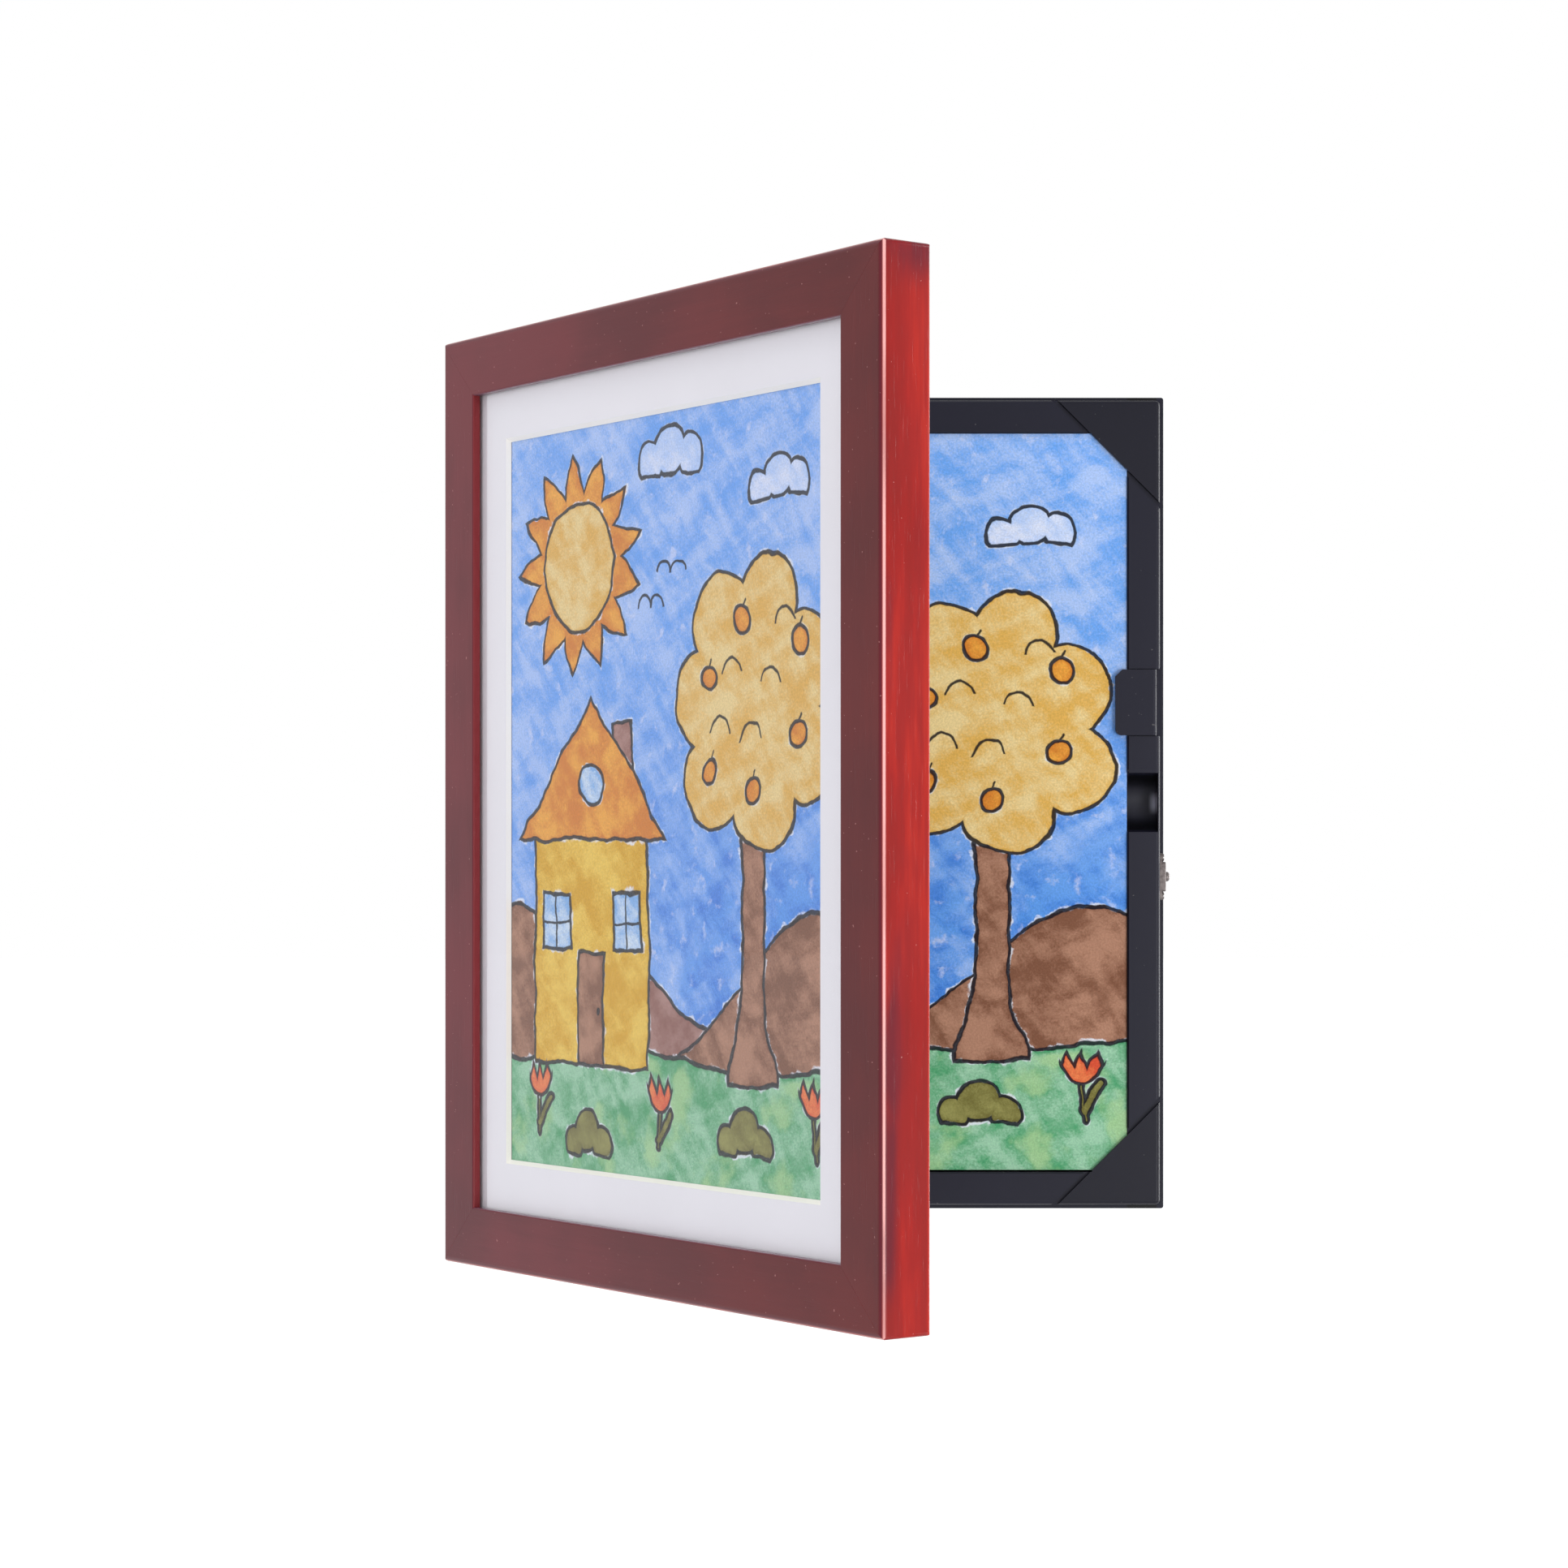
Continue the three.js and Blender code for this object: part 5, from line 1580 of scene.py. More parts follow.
        # The painted lit colour of the sides, varied along the grain
        tone = graph.scaled(grain, 0.3, blotch)
        side = graph.mix(graph.step(tone, 0.42, 0.86), tone_of(self.side, 0.72), self.side)
        side = graph.mix(graph.step(tone, 0.66, 0.95), side, self.glow)
        _, y, z = graph.split(spot)
        end = graph.step(z, DOOR_HEIGHT / 2 - 18 * MM, DOOR_HEIGHT / 2 - 3 * MM)
        # Painted light: the back edge of the sides is painted brighter
        back_rim = graph.step(y, DOOR_BACK - 1.6 * MM, DOOR_BACK - 0.7 * MM)
        side = graph.mix(graph.times(back_rim, 0.8), side, self.glow)
        # Darker streaks and patches near the front, at the top end and low down
        patch = graph.noise(graph.place(True, (1, 1, 0.16)), *self.patch)
        front_half = graph.step(y, DOOR_FRONT + 4 * MM, DOOR_FRONT + 12 * MM, 1, 0.25)
        pooled = graph.times(graph.step(patch, 0.5, 0.68), front_half)
        ragged = graph.scaled(front_half, 0.12, blotch)
        pooled = graph.most(pooled, graph.times(end, graph.step(ragged, 0.45, 0.62)))
        ripple = graph.scaled(patch, -7 * MM, y)
        strip = graph.step(ripple, DOOR_FRONT, DOOR_FRONT + 4 * MM, 1, 0)
        low_end = graph.step(z, -DOOR_HEIGHT / 2 + 6 * MM, -DOOR_HEIGHT / 2 + 24 * MM)
        low_end = graph.times(low_end, graph.step(z, -115 * MM, -80 * MM, 1, 0))
        pooled = graph.most(pooled, graph.times(strip, low_end))
        return graph.mix(graph.times(pooled, 0.8), side, self.shade)

    @staticmethod
    def band(graph: Graph, value: Socket, start: float, end: float) -> Socket:
        """1 where a value lies well between two others, and 0 outside them."""
        ease = (end - start) / 3
        rising = graph.step(value, start, start + ease)
        return graph.times(rising, graph.step(value, end - ease, end, 1, 0))

    def inside(self, graph: Graph, x: Socket, z: Socket) -> Socket:
        """1 on the faces round the opening, and 0 on the outer sides."""
        half_width = DOOR_WIDTH / 2 - self.opening
        half_height = DOOR_HEIGHT / 2 - self.opening
        within_x = graph.math("LESS_THAN", graph.size(x), half_width)
        within_z = graph.math("LESS_THAN", graph.size(z), half_height)
        return graph.times(within_x, within_z)


def tone_of(colour: Colour, share: float) -> Colour:
    """A darker or a lighter tone of a colour."""
    return tuple(min(1.0, c * share) for c in colour)


@dataclass(frozen=True)
class MouldedPlastic(Look):
    """Black moulded plastic with a fine spark-eroded skin."""

    colour: Colour = (0.0095, 0.0095, 0.0195)
    roughness: float = 0.4
    gloss: float = 0.2
    dust: Colour = (0.32, 0.31, 0.3)
    notch_front: Span = mm(3, 5)
    notch_back: float = 11.4 * MM
    notch_start: Span = mm(109, 110)
    notch_wall: Span = mm(117.5, 120)
    # Painted light and shade in the thumb notch: its lit middle, its shaded top and bottom and the glint on
    # its end wall
    notch_painted_light: Colour = (0.024, 0.024, 0.036)
    notch_painted_shade: Colour = (0.001, 0.001, 0.001)
    notch_painted_glint: Colour = (0.42, 0.44, 0.54)
    skin: Noise = (2600, 3, 0.6)
    flow: Noise = (22, 4, 0.6)
    rub: Noise = (240, 3, 0.6)
    dusting: Noise = (700, 1, 0.5)
    skin_height: float = 0.000016
    # Whether the thumb notch gets its painted light and shade
    notch_lit: bool = False

    def paint(self, graph: Graph) -> None:
        """Lays the plastic's skin, dust and scuffs, and, where asked, painted light and shade in the thumb
        notch.

        Args:
            graph: The tree to fill.
        """
        spot = graph.place(False)
        skin = graph.noise(spot, *self.skin)
        flow = graph.noise(graph.place(False, (1, 1, 0.35)), *self.flow)
        rub = graph.noise(graph.place(False, (1, 1, 0.08)), *self.rub)
        colour = graph.mix(flow, tone_of(self.colour, 0.82), tone_of(self.colour, 1.2))
        dusty = graph.step(graph.noise(spot, *self.dusting), 0.755, 0.79)
        colour = graph.mix(graph.times(dusty, 0.2), colour, self.dust)
        # Painted light and shade in the thumb notch
        if self.notch_lit:
            colour = self.notch_light_and_shade(graph, spot, colour)
        scuff = graph.times(graph.step(rub, 0.6, 0.75), graph.step(flow, 0.45, 0.7))
        roughness = graph.scaled(flow, 0.14, self.roughness - 0.07)
        roughness = graph.minus(roughness, graph.times(scuff, 0.08))
        normal = graph.bump(skin, self.skin_height)
        shader = {"Base Color": colour, "Roughness": roughness, "Normal": normal}
        graph.surface(shader | {"Specular IOR Level": self.gloss})

    def notch_light_and_shade(self, graph: Graph, spot: Socket, colour: Socket) -> Socket:
        """The plastic's colour with painted light and shade in the thumb notch: a painted lighter middle,
        painted near-black shade at its top and bottom, and a painted glint on its end wall.

        Args:
            graph: The material's graph.
            spot: Where a point is, in the part's frame.
            colour: The colour so far.

        Returns:
            The colour.
        """
        x, y, z = graph.split(spot)
        height = graph.size(z)
        behind_rim = graph.minus(y, RIM_FRONT)
        deep = graph.step(behind_rim, *self.notch_front)
        deep = graph.times(deep, graph.math("LESS_THAN", behind_rim, self.notch_back))
        within = graph.times(deep, graph.step(x, *self.notch_start))
        within = graph.times(within, graph.math("LESS_THAN", x, TRAY_WIDTH / 2 - 0.4 * MM))
        # Painted light across the middle of the scoop
        bed = graph.times(within, graph.step(height, 0.5 * MM, 7 * MM, 1, 0))
        # Painted shade at its top and bottom
        ends = graph.times(within, graph.step(height, 4 * MM, 9 * MM, 0, 0.85))
        colour = graph.mix(ends, colour, self.notch_painted_shade)
        # A painted glint on the notch's end wall
        wall = graph.times(within, graph.step(x, *self.notch_wall))
        wall = graph.times(wall, graph.step(height, 0.5 * MM, 5 * MM, 1, 0))
        colour = graph.mix(bed, colour, self.notch_painted_light)
        return graph.mix(wall, colour, self.notch_painted_glint)


@dataclass(frozen=True)
class Metal(Look):
    """Bare or plated metal, a little brushed and tarnished."""

    colour: Colour
    tarnish: Colour
    roughness: float = 0.34
    brush: Noise = (5200, 2, 0.6)
    cloud: Noise = (420, 4, 0.6)

    def paint(self, graph: Graph) -> None:
        """Lays the metal.

        Args:
            graph: The tree to fill.
        """
        spot = graph.place(False)
        brush = graph.noise(graph.place(False, (1, 1, 0.12)), *self.brush)
        cloud = graph.noise(spot, *self.cloud)
        colour = graph.mix(graph.step(cloud, 0.42, 0.68), self.colour, self.tarnish)
        roughness = graph.scaled(cloud, 0.22, self.roughness - 0.1)
        normal = graph.bump(graph.scaled(cloud, 0.6, brush), 0.00001)
        shader = {"Base Color": colour, "Metallic": 0.9, "Roughness": roughness, "Normal": normal}
        graph.surface(shader)


@dataclass(frozen=True)
class Card(Look):
    """Mat card: its pale face paper or its cream core."""

    colour: Colour
    fleck: Colour = (0.5, 0.45, 0.4)
    tooth: float = 0.00002

    def paint(self, graph: Graph) -> None:
        """Lays the card's surface.

        Args:
            graph: The tree to fill.
        """
        spot = graph.place(True)
        fibre = graph.noise(spot, 1500, 4, 0.65)
        cloud = graph.noise(spot, 26, 3, 0.5)
        colour = graph.mix(cloud, tone_of(self.colour, 0.965), tone_of(self.colour, 1.02))
        flecks = graph.step(graph.noise(spot, 520, 1), 0.76, 0.79)
        colour = graph.mix(graph.times(flecks, 0.06), colour, self.fleck)
        graph.surface({"Base Color": colour, "Roughness": 0.88, "Normal": graph.bump(fibre, self.tooth)})


@dataclass(frozen=True)
class Paper(Look):
    """Plain paper, its edges a little uneven in tone."""

    colour: Colour = (0.83, 0.81, 0.76)

    def paint(self, graph: Graph) -> None:
        """Lays the paper's edges and fibres.

        Args:
            graph: The tree to fill.
        """
        layers = graph.noise(graph.place(False, (0.1, 30, 0.1)), 80, 2)
        fibre = graph.noise(graph.place(False), 1200, 3)
        colour = graph.mix(layers, tone_of(self.colour, 0.8), self.colour)
        graph.surface({"Base Color": colour, "Roughness": 0.9, "Normal": graph.bump(fibre, 0.00002)})


@dataclass(frozen=True)
class Hardboard(Look):
    """Brown hardboard, smooth in front and with a screen's pattern at its back."""

    colour: Colour = (0.17, 0.095, 0.05)
    stain: Colour = (0.12, 0.075, 0.045)
    screen: float = 3600.0

    def paint(self, graph: Graph) -> None:
        """Lays the board's fibres and the pattern at its back.

        Args:
            graph: The tree to fill.
        """
        spot = graph.place(True)
        fibre = graph.noise(spot, 620, 5, 0.7)
        cloud = graph.noise(spot, 18, 3, 0.55)
        colour = graph.mix(fibre, tone_of(self.colour, 0.6), tone_of(self.colour, 1.35))
        colour = graph.mix(graph.step(cloud, 0.3, 0.7, 0, 0.5), colour, self.stain)
        x, _, z = graph.split(spot)
        wires = (graph.math("SINE", graph.times(side, self.screen)) for side in (x, z))
        weave = graph.times(*wires)
        height = graph.scaled(weave, 0.35, fibre)
        graph.surface({"Base Color": colour, "Roughness": 0.82, "Normal": graph.bump(height, 0.00012)})


@dataclass(frozen=True)
class Glazing(Look):
    """Clear acrylic: see-through, with a reflection that grows towards a grazing look."""

    index: float = 1.49
    both_faces: float = 0.95
    tint: Colour = (0.978, 0.976, 0.984)

    def paint(self, graph: Graph) -> None:
        """Lays the acrylic.

        Args:
            graph: The tree to fill.
        """
        ripple = graph.bump(graph.noise(graph.place(True), 12, 2), 0.00001)
        clear = graph.add("BsdfTransparent", {"Color": self.tint})
        shine = {"Color": (1.0, 1.0, 1.0), "Roughness": 0.03, "Normal": ripple}
        gloss = graph.add("BsdfGlossy", shine)
        fresnel = graph.add("Fresnel", {"IOR": self.index, "Normal": ripple}).outputs[0]
        inside = graph.add("NewGeometry").outputs["Backfacing"]
        outside = graph.minus(self.both_faces, graph.times(inside, self.both_faces))
        share = graph.math("MULTIPLY", fresnel, outside, clamp=True)
        both = graph.add("MixShader", {0: share, 1: clear.outputs[0], 2: gloss.outputs[0]})
        graph.add("OutputMaterial", {0: both.outputs[0]})


class Sketch(Graph):
    """A drawing made of outlined shapes, each given by its signed distance in millimetres."""

    SHARED = {"Page": "Vector", "Blot": "Float", "Wash": "Float", "Stroke": "Float"}
    PAINT = {"Colour": "Color", "Ink": "Float"}
    BARE: Colour = (0.80, 0.84, 0.93)

    def __init__(self, name: str) -> None:
        """Starts one layer of the drawing, as a group that a material can use.

        Args:
            name: The group's name.
        """
        group = bpy.data.node_groups.new(name, "ShaderNodeTree")
        for given, kind in (self.SHARED | self.PAINT).items():
            group.interface.new_socket(given, in_out="INPUT", socket_type=f"NodeSocket{kind}")
        for made, kind in self.PAINT.items():
            group.interface.new_socket(made, in_out="OUTPUT", socket_type=f"NodeSocket{kind}")
        super().__init__(group)
        given = self.tree.nodes.new("NodeGroupInput").outputs
        self.page, self.blot, self.wash, self.stroke, self.colour, self.ink = tuple(given)[:6]
        self.x, _, self.z = self.split(self.page)

    def end(self) -> Layer:
        """Hands the layer's colour and ink on, and returns its group."""
        output = self.tree.nodes.new("NodeGroupOutput")
        self.feed(output.inputs["Colour"], self.colour)
        self.feed(output.inputs["Ink"], self.ink)
        return self.tree

    @staticmethod
    def shared(graph: Graph, spot: Socket) -> dict[str, Socket]:
        """What all the layers read: the page in millimetres, and the paint's unevenness.

        Args:
            graph: The material's graph.
            spot: Where a point of the piece is, in metres, as if the door were shut.

        Returns:
            A socket for each shared input of a layer.
        """
        page = graph.vector("MULTIPLY", spot, (1000.0, 0.0, 1000.0))
        for scale, reach in ((0.045, 7.0), (0.28, 1.3)):
            drift = graph.add("TexNoise", {"Vector": page, "Scale": scale, "Detail": 2.0})
            off = graph.vector("SUBTRACT", drift.outputs[1], (0.5, 0.5, 0.5))
            page = graph.vector("ADD", page, graph.vector("MULTIPLY", off, (reach, 0.0, reach)))
        strokes = []
        for turn, scale in ((0.85, 0.12), (-0.35, 0.085)):
            brush = graph.add("Mapping", {"Vector": page}, vector_type="TEXTURE")
            brush.inputs["Rotation"].default_value = (0, turn, 0)
            brush.inputs["Scale"].default_value = (2.6, 1, 0.8)
            strokes.append(graph.noise(brush.outputs[0], scale, 3, 0.55))
        grain = graph.times(graph.noise(page, 1.1, 3, 0.7), 0.3)
        stroke = graph.scaled(graph.math("ADD", *strokes), 0.5, grain)
        return {
            "Page": page,
            "Blot": graph.noise(page, 0.045, 4, 0.55),
            "Wash": graph.noise(page, 0.15, 4, 0.6),
            "Stroke": graph.minus(stroke, 0.15),
        }

    def disc(self, x: float, z: float, radius: float) -> Socket:
        """The distance to a disc."""
        off = self.vector("SUBTRACT", self.page, (x, 0.0, z))
        return self.minus(self.vector("LENGTH", off), radius)

    def box(self, x: float, z: float, half_x: float, half_z: float) -> Socket:
        """The distance to an upright box."""
        across = self.minus(self.size(self.minus(self.x, x)), half_x)
        up = self.minus(self.size(self.minus(self.z, z)), half_z)
        return self.most(across, up)

    def gable(self, x: float, low: float, high: float, half: float) -> Socket:
        """The distance to a triangle that stands on its base.

        Args:
            x: Its middle, across.
            low: The height of its base.
            high: The height of its top.
            half: Half the width of its base.

        Returns:
            The distance.
        """
        slope = (high - low) / half
        steep = math.hypot(1, slope)
        across = self.size(self.minus(self.x, x))
        fall = self.scaled(across, slope, self.z)
        side = self.math("DIVIDE", self.minus(fall, high), steep)
        return self.most(side, self.minus(low, self.z))

    def ring(self, x: float, z: float, radius: float, reach: float, count: int) -> Socket:
        """The distance to a disc with points round its edge.

        Args:
            x: Its middle, across.
            z: Its middle, up.
            radius: The radius of the disc inside.
            reach: How far a point stands out.
            count: How many there are.

        Returns:
            The distance.
        """
        off_x = self.minus(self.x, x)
        off_z = self.minus(self.z, z)
        angle = self.math("ARCTAN2", off_z, off_x)
        wave = self.math("PINGPONG", self.times(angle, count / math.pi), 1.0)
        edge = self.scaled(wave, reach, radius)
        return self.times(self.minus(self.disc(x, z, 0.0), edge), 0.62)

    def below(self, height: Socket) -> Socket:
        """The distance to all that lies below a line."""
        return self.times(self.minus(self.z, height), 0.9)

    def hill(self, level: float, rise: float, width: float, middle: float) -> Socket:
        """A rolling line, as its height at each place across."""
        turn = self.math("DIVIDE", self.minus(self.x, middle), width)
        return self.scaled(self.math("COSINE", turn), rise, level)

    def segment(self, start: Span, end: Span, radius: float) -> Socket:
        """The distance to a straight stroke with round ends.

        Args:
            start: Where it starts, across and up.
            end: Where it ends.
            radius: Half its width.

        Returns:
            The distance.
        """
        along = Vector((end[0] - start[0], 0, end[1] - start[1]))
        off = self.vector("SUBTRACT", self.page, (start[0], 0.0, start[1]))
        share = self.vector("DOT_PRODUCT", off, tuple(along / along.length_squared))
        share = self.least(self.most(share, 0.0), 1.0)
        scale = self.add("VectorMath", operation="SCALE")
        scale.inputs[0].default_value = along
        self.feed(scale.inputs["Scale"], share)
        near = self.vector("SUBTRACT", off, scale.outputs[0])
        return self.minus(self.vector("LENGTH", near), radius)

    def fill(self, distance: Socket, light: Colour, deep: Colour, loose: float = 0.9) -> None:
        """Washes a shape in, from a light to a deep tone, with a slack edge.

        Args:
            distance: The shape's signed distance.
            light: The tone where the wash is thin.
            deep: The tone where it has pooled.
            loose: How far the wash strays from its edge, in millimetres.
        """
        stray = self.minus(self.wash, 0.5)
        edge = self.scaled(stray, 6 * loose, distance)
        bare = self.scaled(stray, 9 * loose, distance)
        self.colour = self.mix(self.step(bare, 0.1, 1.0, 0.85, 0), self.colour, self.BARE)
        inside = self.step(edge, -0.35, 0.3, 1, 0)
        pool = self.step(edge, -2.4, -0.3, 0, 0.35)
        tone = self.math("ADD", self.step(self.stroke, 0.36, 0.64), pool)
        drift = self.minus(self.math("ADD", self.wash, self.blot), 1.0)
        tone = self.math("MULTIPLY_ADD", drift, 1.6, tone, clamp=True)
        self.colour = self.mix(inside, self.colour, self.mix(tone, light, deep))

    def stroke_round(self, distance: Socket, width: float = 0.72) -> None:
        """Draws a shape's outline in ink."""
        self.cover(self.minus(self.size(distance), width))

    def cover(self, distance: Socket) -> None:
        """Fills a shape with ink."""
        line = self.step(distance, -0.22, 0.22, 1, 0)
        self.ink = self.most(self.ink, line)

    def hide(self, distance: Socket) -> None:
        """Takes the ink out of a shape that stands in front."""
        self.ink = self.times(self.ink, self.step(distance, -0.2, 0.4))

    def shape(self, distance: Socket, light: Colour, deep: Colour, loose: float = 0.9) -> None:
        """Washes a shape in over what is behind it, and outlines it."""
        self.hide(distance)
        self.fill(distance, light, deep, loose)
        self.stroke_round(distance)


@dataclass(frozen=True)
class Landscape:
    """A generic child's landscape in watercolour and ink: sky, sun, house, tree and tulips."""

    sky: Wash = ((0.42, 0.58, 0.93), (0.15, 0.38, 0.88))
    depth: Wash = ((0.10, 0.33, 0.84), (0.035, 0.17, 0.66))
    cloud: Wash = ((0.70, 0.77, 0.95), (0.44, 0.60, 0.92))
    gold: Wash = ((0.82, 0.64, 0.30), (0.74, 0.44, 0.10))
    amber: Wash = ((0.85, 0.40, 0.06), (0.66, 0.22, 0.03))
    earth: Wash = ((0.44, 0.23, 0.15), (0.22, 0.095, 0.055))
    clay: Wash = ((0.42, 0.24, 0.21), (0.27, 0.12, 0.10))
    grass: Wash = ((0.34, 0.62, 0.42), (0.08, 0.36, 0.16))
    olive: Wash = ((0.30, 0.29, 0.09), (0.17, 0.155, 0.04))
    sunny: Wash = ((0.84, 0.58, 0.10), (0.68, 0.38, 0.02))
    glass: Wash = ((0.68, 0.80, 0.93), (0.24, 0.46, 0.82))
    red: Wash = ((0.86, 0.26, 0.09), (0.68, 0.09, 0.04))
    pale_sky: Colour = (0.62, 0.70, 0.94)
    fresh_grass: Colour = (0.42, 0.66, 0.33)

    def paint_sky(self, art: Sketch) -> None:
        """Lays the sky in loose slanting strokes, deeper to the lower right.

        Args:
            art: The layer.
        """
        art.colour = art.mix(art.step(art.stroke, 0.38, 0.62), *self.sky)
        down = art.step(art.z, 70.0, -60.0)
        right = art.step(art.x, -90.0, 70.0, 0.3, 1.0)
        share = art.times(down, right)
        share = art.times(share, art.step(art.blot, 0.36, 0.56, 0.25, 1.0))
        deep = art.mix(art.step(art.stroke, 0.4, 0.66), *self.depth)
        art.colour = art.mix(share, art.colour, deep)
        pale = art.times(art.step(art.wash, 0.56, 0.72), 0.7)
        art.colour = art.mix(pale, art.colour, self.pale_sky)

    def paint_sun(self, art: Sketch) -> None:
        """Paints the sun at the upper left, with pointed rays."""
        art.shape(art.ring(-50, 84, 27, 13, 13), *self.amber)
        art.shape(art.disc(-50, 84, 23), *self.gold)

    def paint_clouds(self, art: Sketch) -> None:
        """Paints two outlined clouds and two birds.

        Args:
            art: The layer.
        """
        for x, z, size in ((71, 103, 0.9), (8, 117, 1.05)):
            puffs = ((-11 * size, -1, 7 * size), (0, 3 * size, 9 * size), (12 * size, 0, 7.5 * size))
            cloud = art.least(*(art.disc(x + right, z + up, radius) for right, up, radius in puffs))
            cloud = art.most(cloud, art.minus(z - 5.5 * size, art.z))
            art.shape(cloud, *self.cloud, 0.5)
        for x, z in ((-4, 66), (9, 78)):
            for side in (-4, 4):
                wing = art.size(art.disc(x + side, z, 4))
                wing = art.most(wing, art.minus(z + 0.5, art.z))
                art.cover(art.minus(wing, 0.55))

    def paint_land(self, art: Sketch) -> None:
        """Paints the hills and the meadow.

        Args:
            art: The layer.
        """
        art.shape(art.below(art.hill(-62, 22, 34, -60)), *self.clay)
        art.shape(art.below(art.hill(-66, 27, 30, 96)), *self.earth)
        meadow = art.below(art.hill(-92, 3, 24, -20))
        art.shape(meadow, *self.grass)
        fresh = art.times(art.step(art.blot, 0.5, 0.64), art.step(meadow, -1.0, -3.0))
        art.colour = art.mix(art.times(fresh, 0.75), art.colour, self.fresh_grass)

    def paint_house(self, art: Sketch) -> None:
        """Paints the house at the left: walls, roof, door and windows.

        Args:
            art: The layer.
        """
        art.shape(art.box(-22, 14, 6, 13), *self.clay)
        art.shape(art.box(-42, -54, 37, 42), *self.sunny)
        art.shape(art.gable(-42, -14, 36, 47), *self.amber)
        art.shape(art.box(-42, -76, 9, 20), *self.earth)
        art.cover(art.disc(-36, -77, 1.3))
        for x in (-65, -19):
            art.shape(art.box(x, -44, 9, 10), *self.glass)
            art.cover(art.least(art.box(x, -44, 0.55, 10), art.box(x, -44, 9, 0.55)))
        art.shape(art.disc(-42, 5, 7.5), *self.glass)

    def paint_tree(self, art: Sketch) -> None:
        """Paints the golden tree at the right, with its fruit.

        Args:
            art: The layer.
        """
        x = 57
        flare = art.math("POWER", art.step(art.z, -62.0, -98.0), 2.0)
        half = art.scaled(flare, 8.0, 6.5)
        width = art.minus(art.size(art.minus(art.x, x)), half)
        art.shape(art.most(width, art.box(x, -46, 40, 52)), *self.earth)
        left = ((58, 31, 30), (34, 6, 17), (29, 33, 17), (41, 57, 18))
        right = ((66, 63, 17), (86, 43, 17), (87, 14, 17), (63, 0, 19))
        art.shape(art.least(*(art.disc(*bough) for bough in left + right)), *self.gold)
        for mark_x, mark_z in ((45, 40), (68, 36), (56, 17), (38, 20), (76, 56)):
            arc = art.size(art.disc(mark_x, mark_z, 6))
            arc = art.most(arc, art.minus(mark_z + 1.5, art.z))
            art.cover(art.minus(arc, 0.5))
        for fruit_x, fruit_z in ((31, 40), (52, 59), (84, 50), (83, 20), (57, 1), (33, 8)):
            art.shape(art.disc(fruit_x, fruit_z, 4.4), *self.amber, 0.5)
            art.cover(art.segment((fruit_x, fruit_z + 4), (fruit_x + 1.5, fruit_z + 7), 0.45))

    def paint_flowers(self, art: Sketch) -> None:
        """Paints tulips and round bushes in the meadow.

        Args:
            art: The layer.
        """
        for x, z in ((-76, -104), (2, -106), (92, -103)):
            stem = art.segment((x, z - 17), (x, z), 1.0)
            leaf = art.segment((x, z - 14), (x + 7, z - 4), 1.7)
            art.shape(art.least(stem, leaf), *self.olive, 0.4)
            cup = art.disc(x, z + 4, 7.5)
            points = art.math("PINGPONG", art.minus(art.x, x - 7.5), 2.5)
            top = art.minus(art.z, art.scaled(points, 2.0, z + 3))
            art.shape(art.most(cup, art.times(top, 0.5)), *self.red, 0.5)
        for x, z in ((-44, -124), (52, -118)):
            puffs = ((x - 9, z, 6), (x, z + 5, 8), (x + 9.5, z, 6.5))
            bush = art.least(*(art.disc(*puff) for puff in puffs))
            art.shape(art.most(bush, art.minus(z - 4, art.z)), *self.olive)

    @cache
    def layers(self) -> list[Layer]:
        """Makes every layer, from the back of the picture to its front."""
        behind = (self.paint_sky, self.paint_sun, self.paint_clouds, self.paint_land)
        made = []
        for paint in (*behind, self.paint_house, self.paint_tree, self.paint_flowers):
            art = Sketch(paint.__name__)
            paint(art)
            made.append(art.end())
        return made


@dataclass(frozen=True)
class Painting(Look):
    """Watercolour paper with the layers of a drawing on it."""

    framed: bool
    ink: Colour = (0.006, 0.007, 0.014)

    def paint(self, graph: Graph) -> None:
        """Lays the drawing's layers, one over the other, on the paper.

        Args:
            graph: The tree to fill.
        """
        spot = graph.place(self.framed)
        shared = Sketch.shared(graph, spot)
        paint: dict[str, object] = {"Colour": (0.8, 0.8, 0.82), "Ink": 0.0}
        for layer in Landscape().layers():
            node = graph.add("Group", node_tree=layer)
            for name, value in (shared | paint).items():
                graph.feed(node.inputs[name], value)
            paint = {"Colour": node.outputs["Colour"], "Ink": node.outputs["Ink"]}
        grit = graph.noise(shared["Page"], 1.4, 3, 0.6)
        colour = graph.vector("SCALE", paint["Colour"])
        graph.feed(colour.node.inputs["Scale"], graph.step(grit, 0.3, 0.75, 0.86, 1.1))
        colour = graph.mix(graph.times(paint["Ink"], 0.95), colour, self.ink)
        tooth = graph.noise(spot, 1100, 3, 0.6)
        shader = {"Base Color": colour, "Roughness": 0.82, "Normal": graph.bump(tooth, 0.00003)}
        graph.surface(shader | {"Specular IOR Level": 0.15})


def made(look: Look, slot: Slot) -> Finish:
    """A field that makes its finish with the rest."""
    return field(default_factory=partial(look.build, slot))


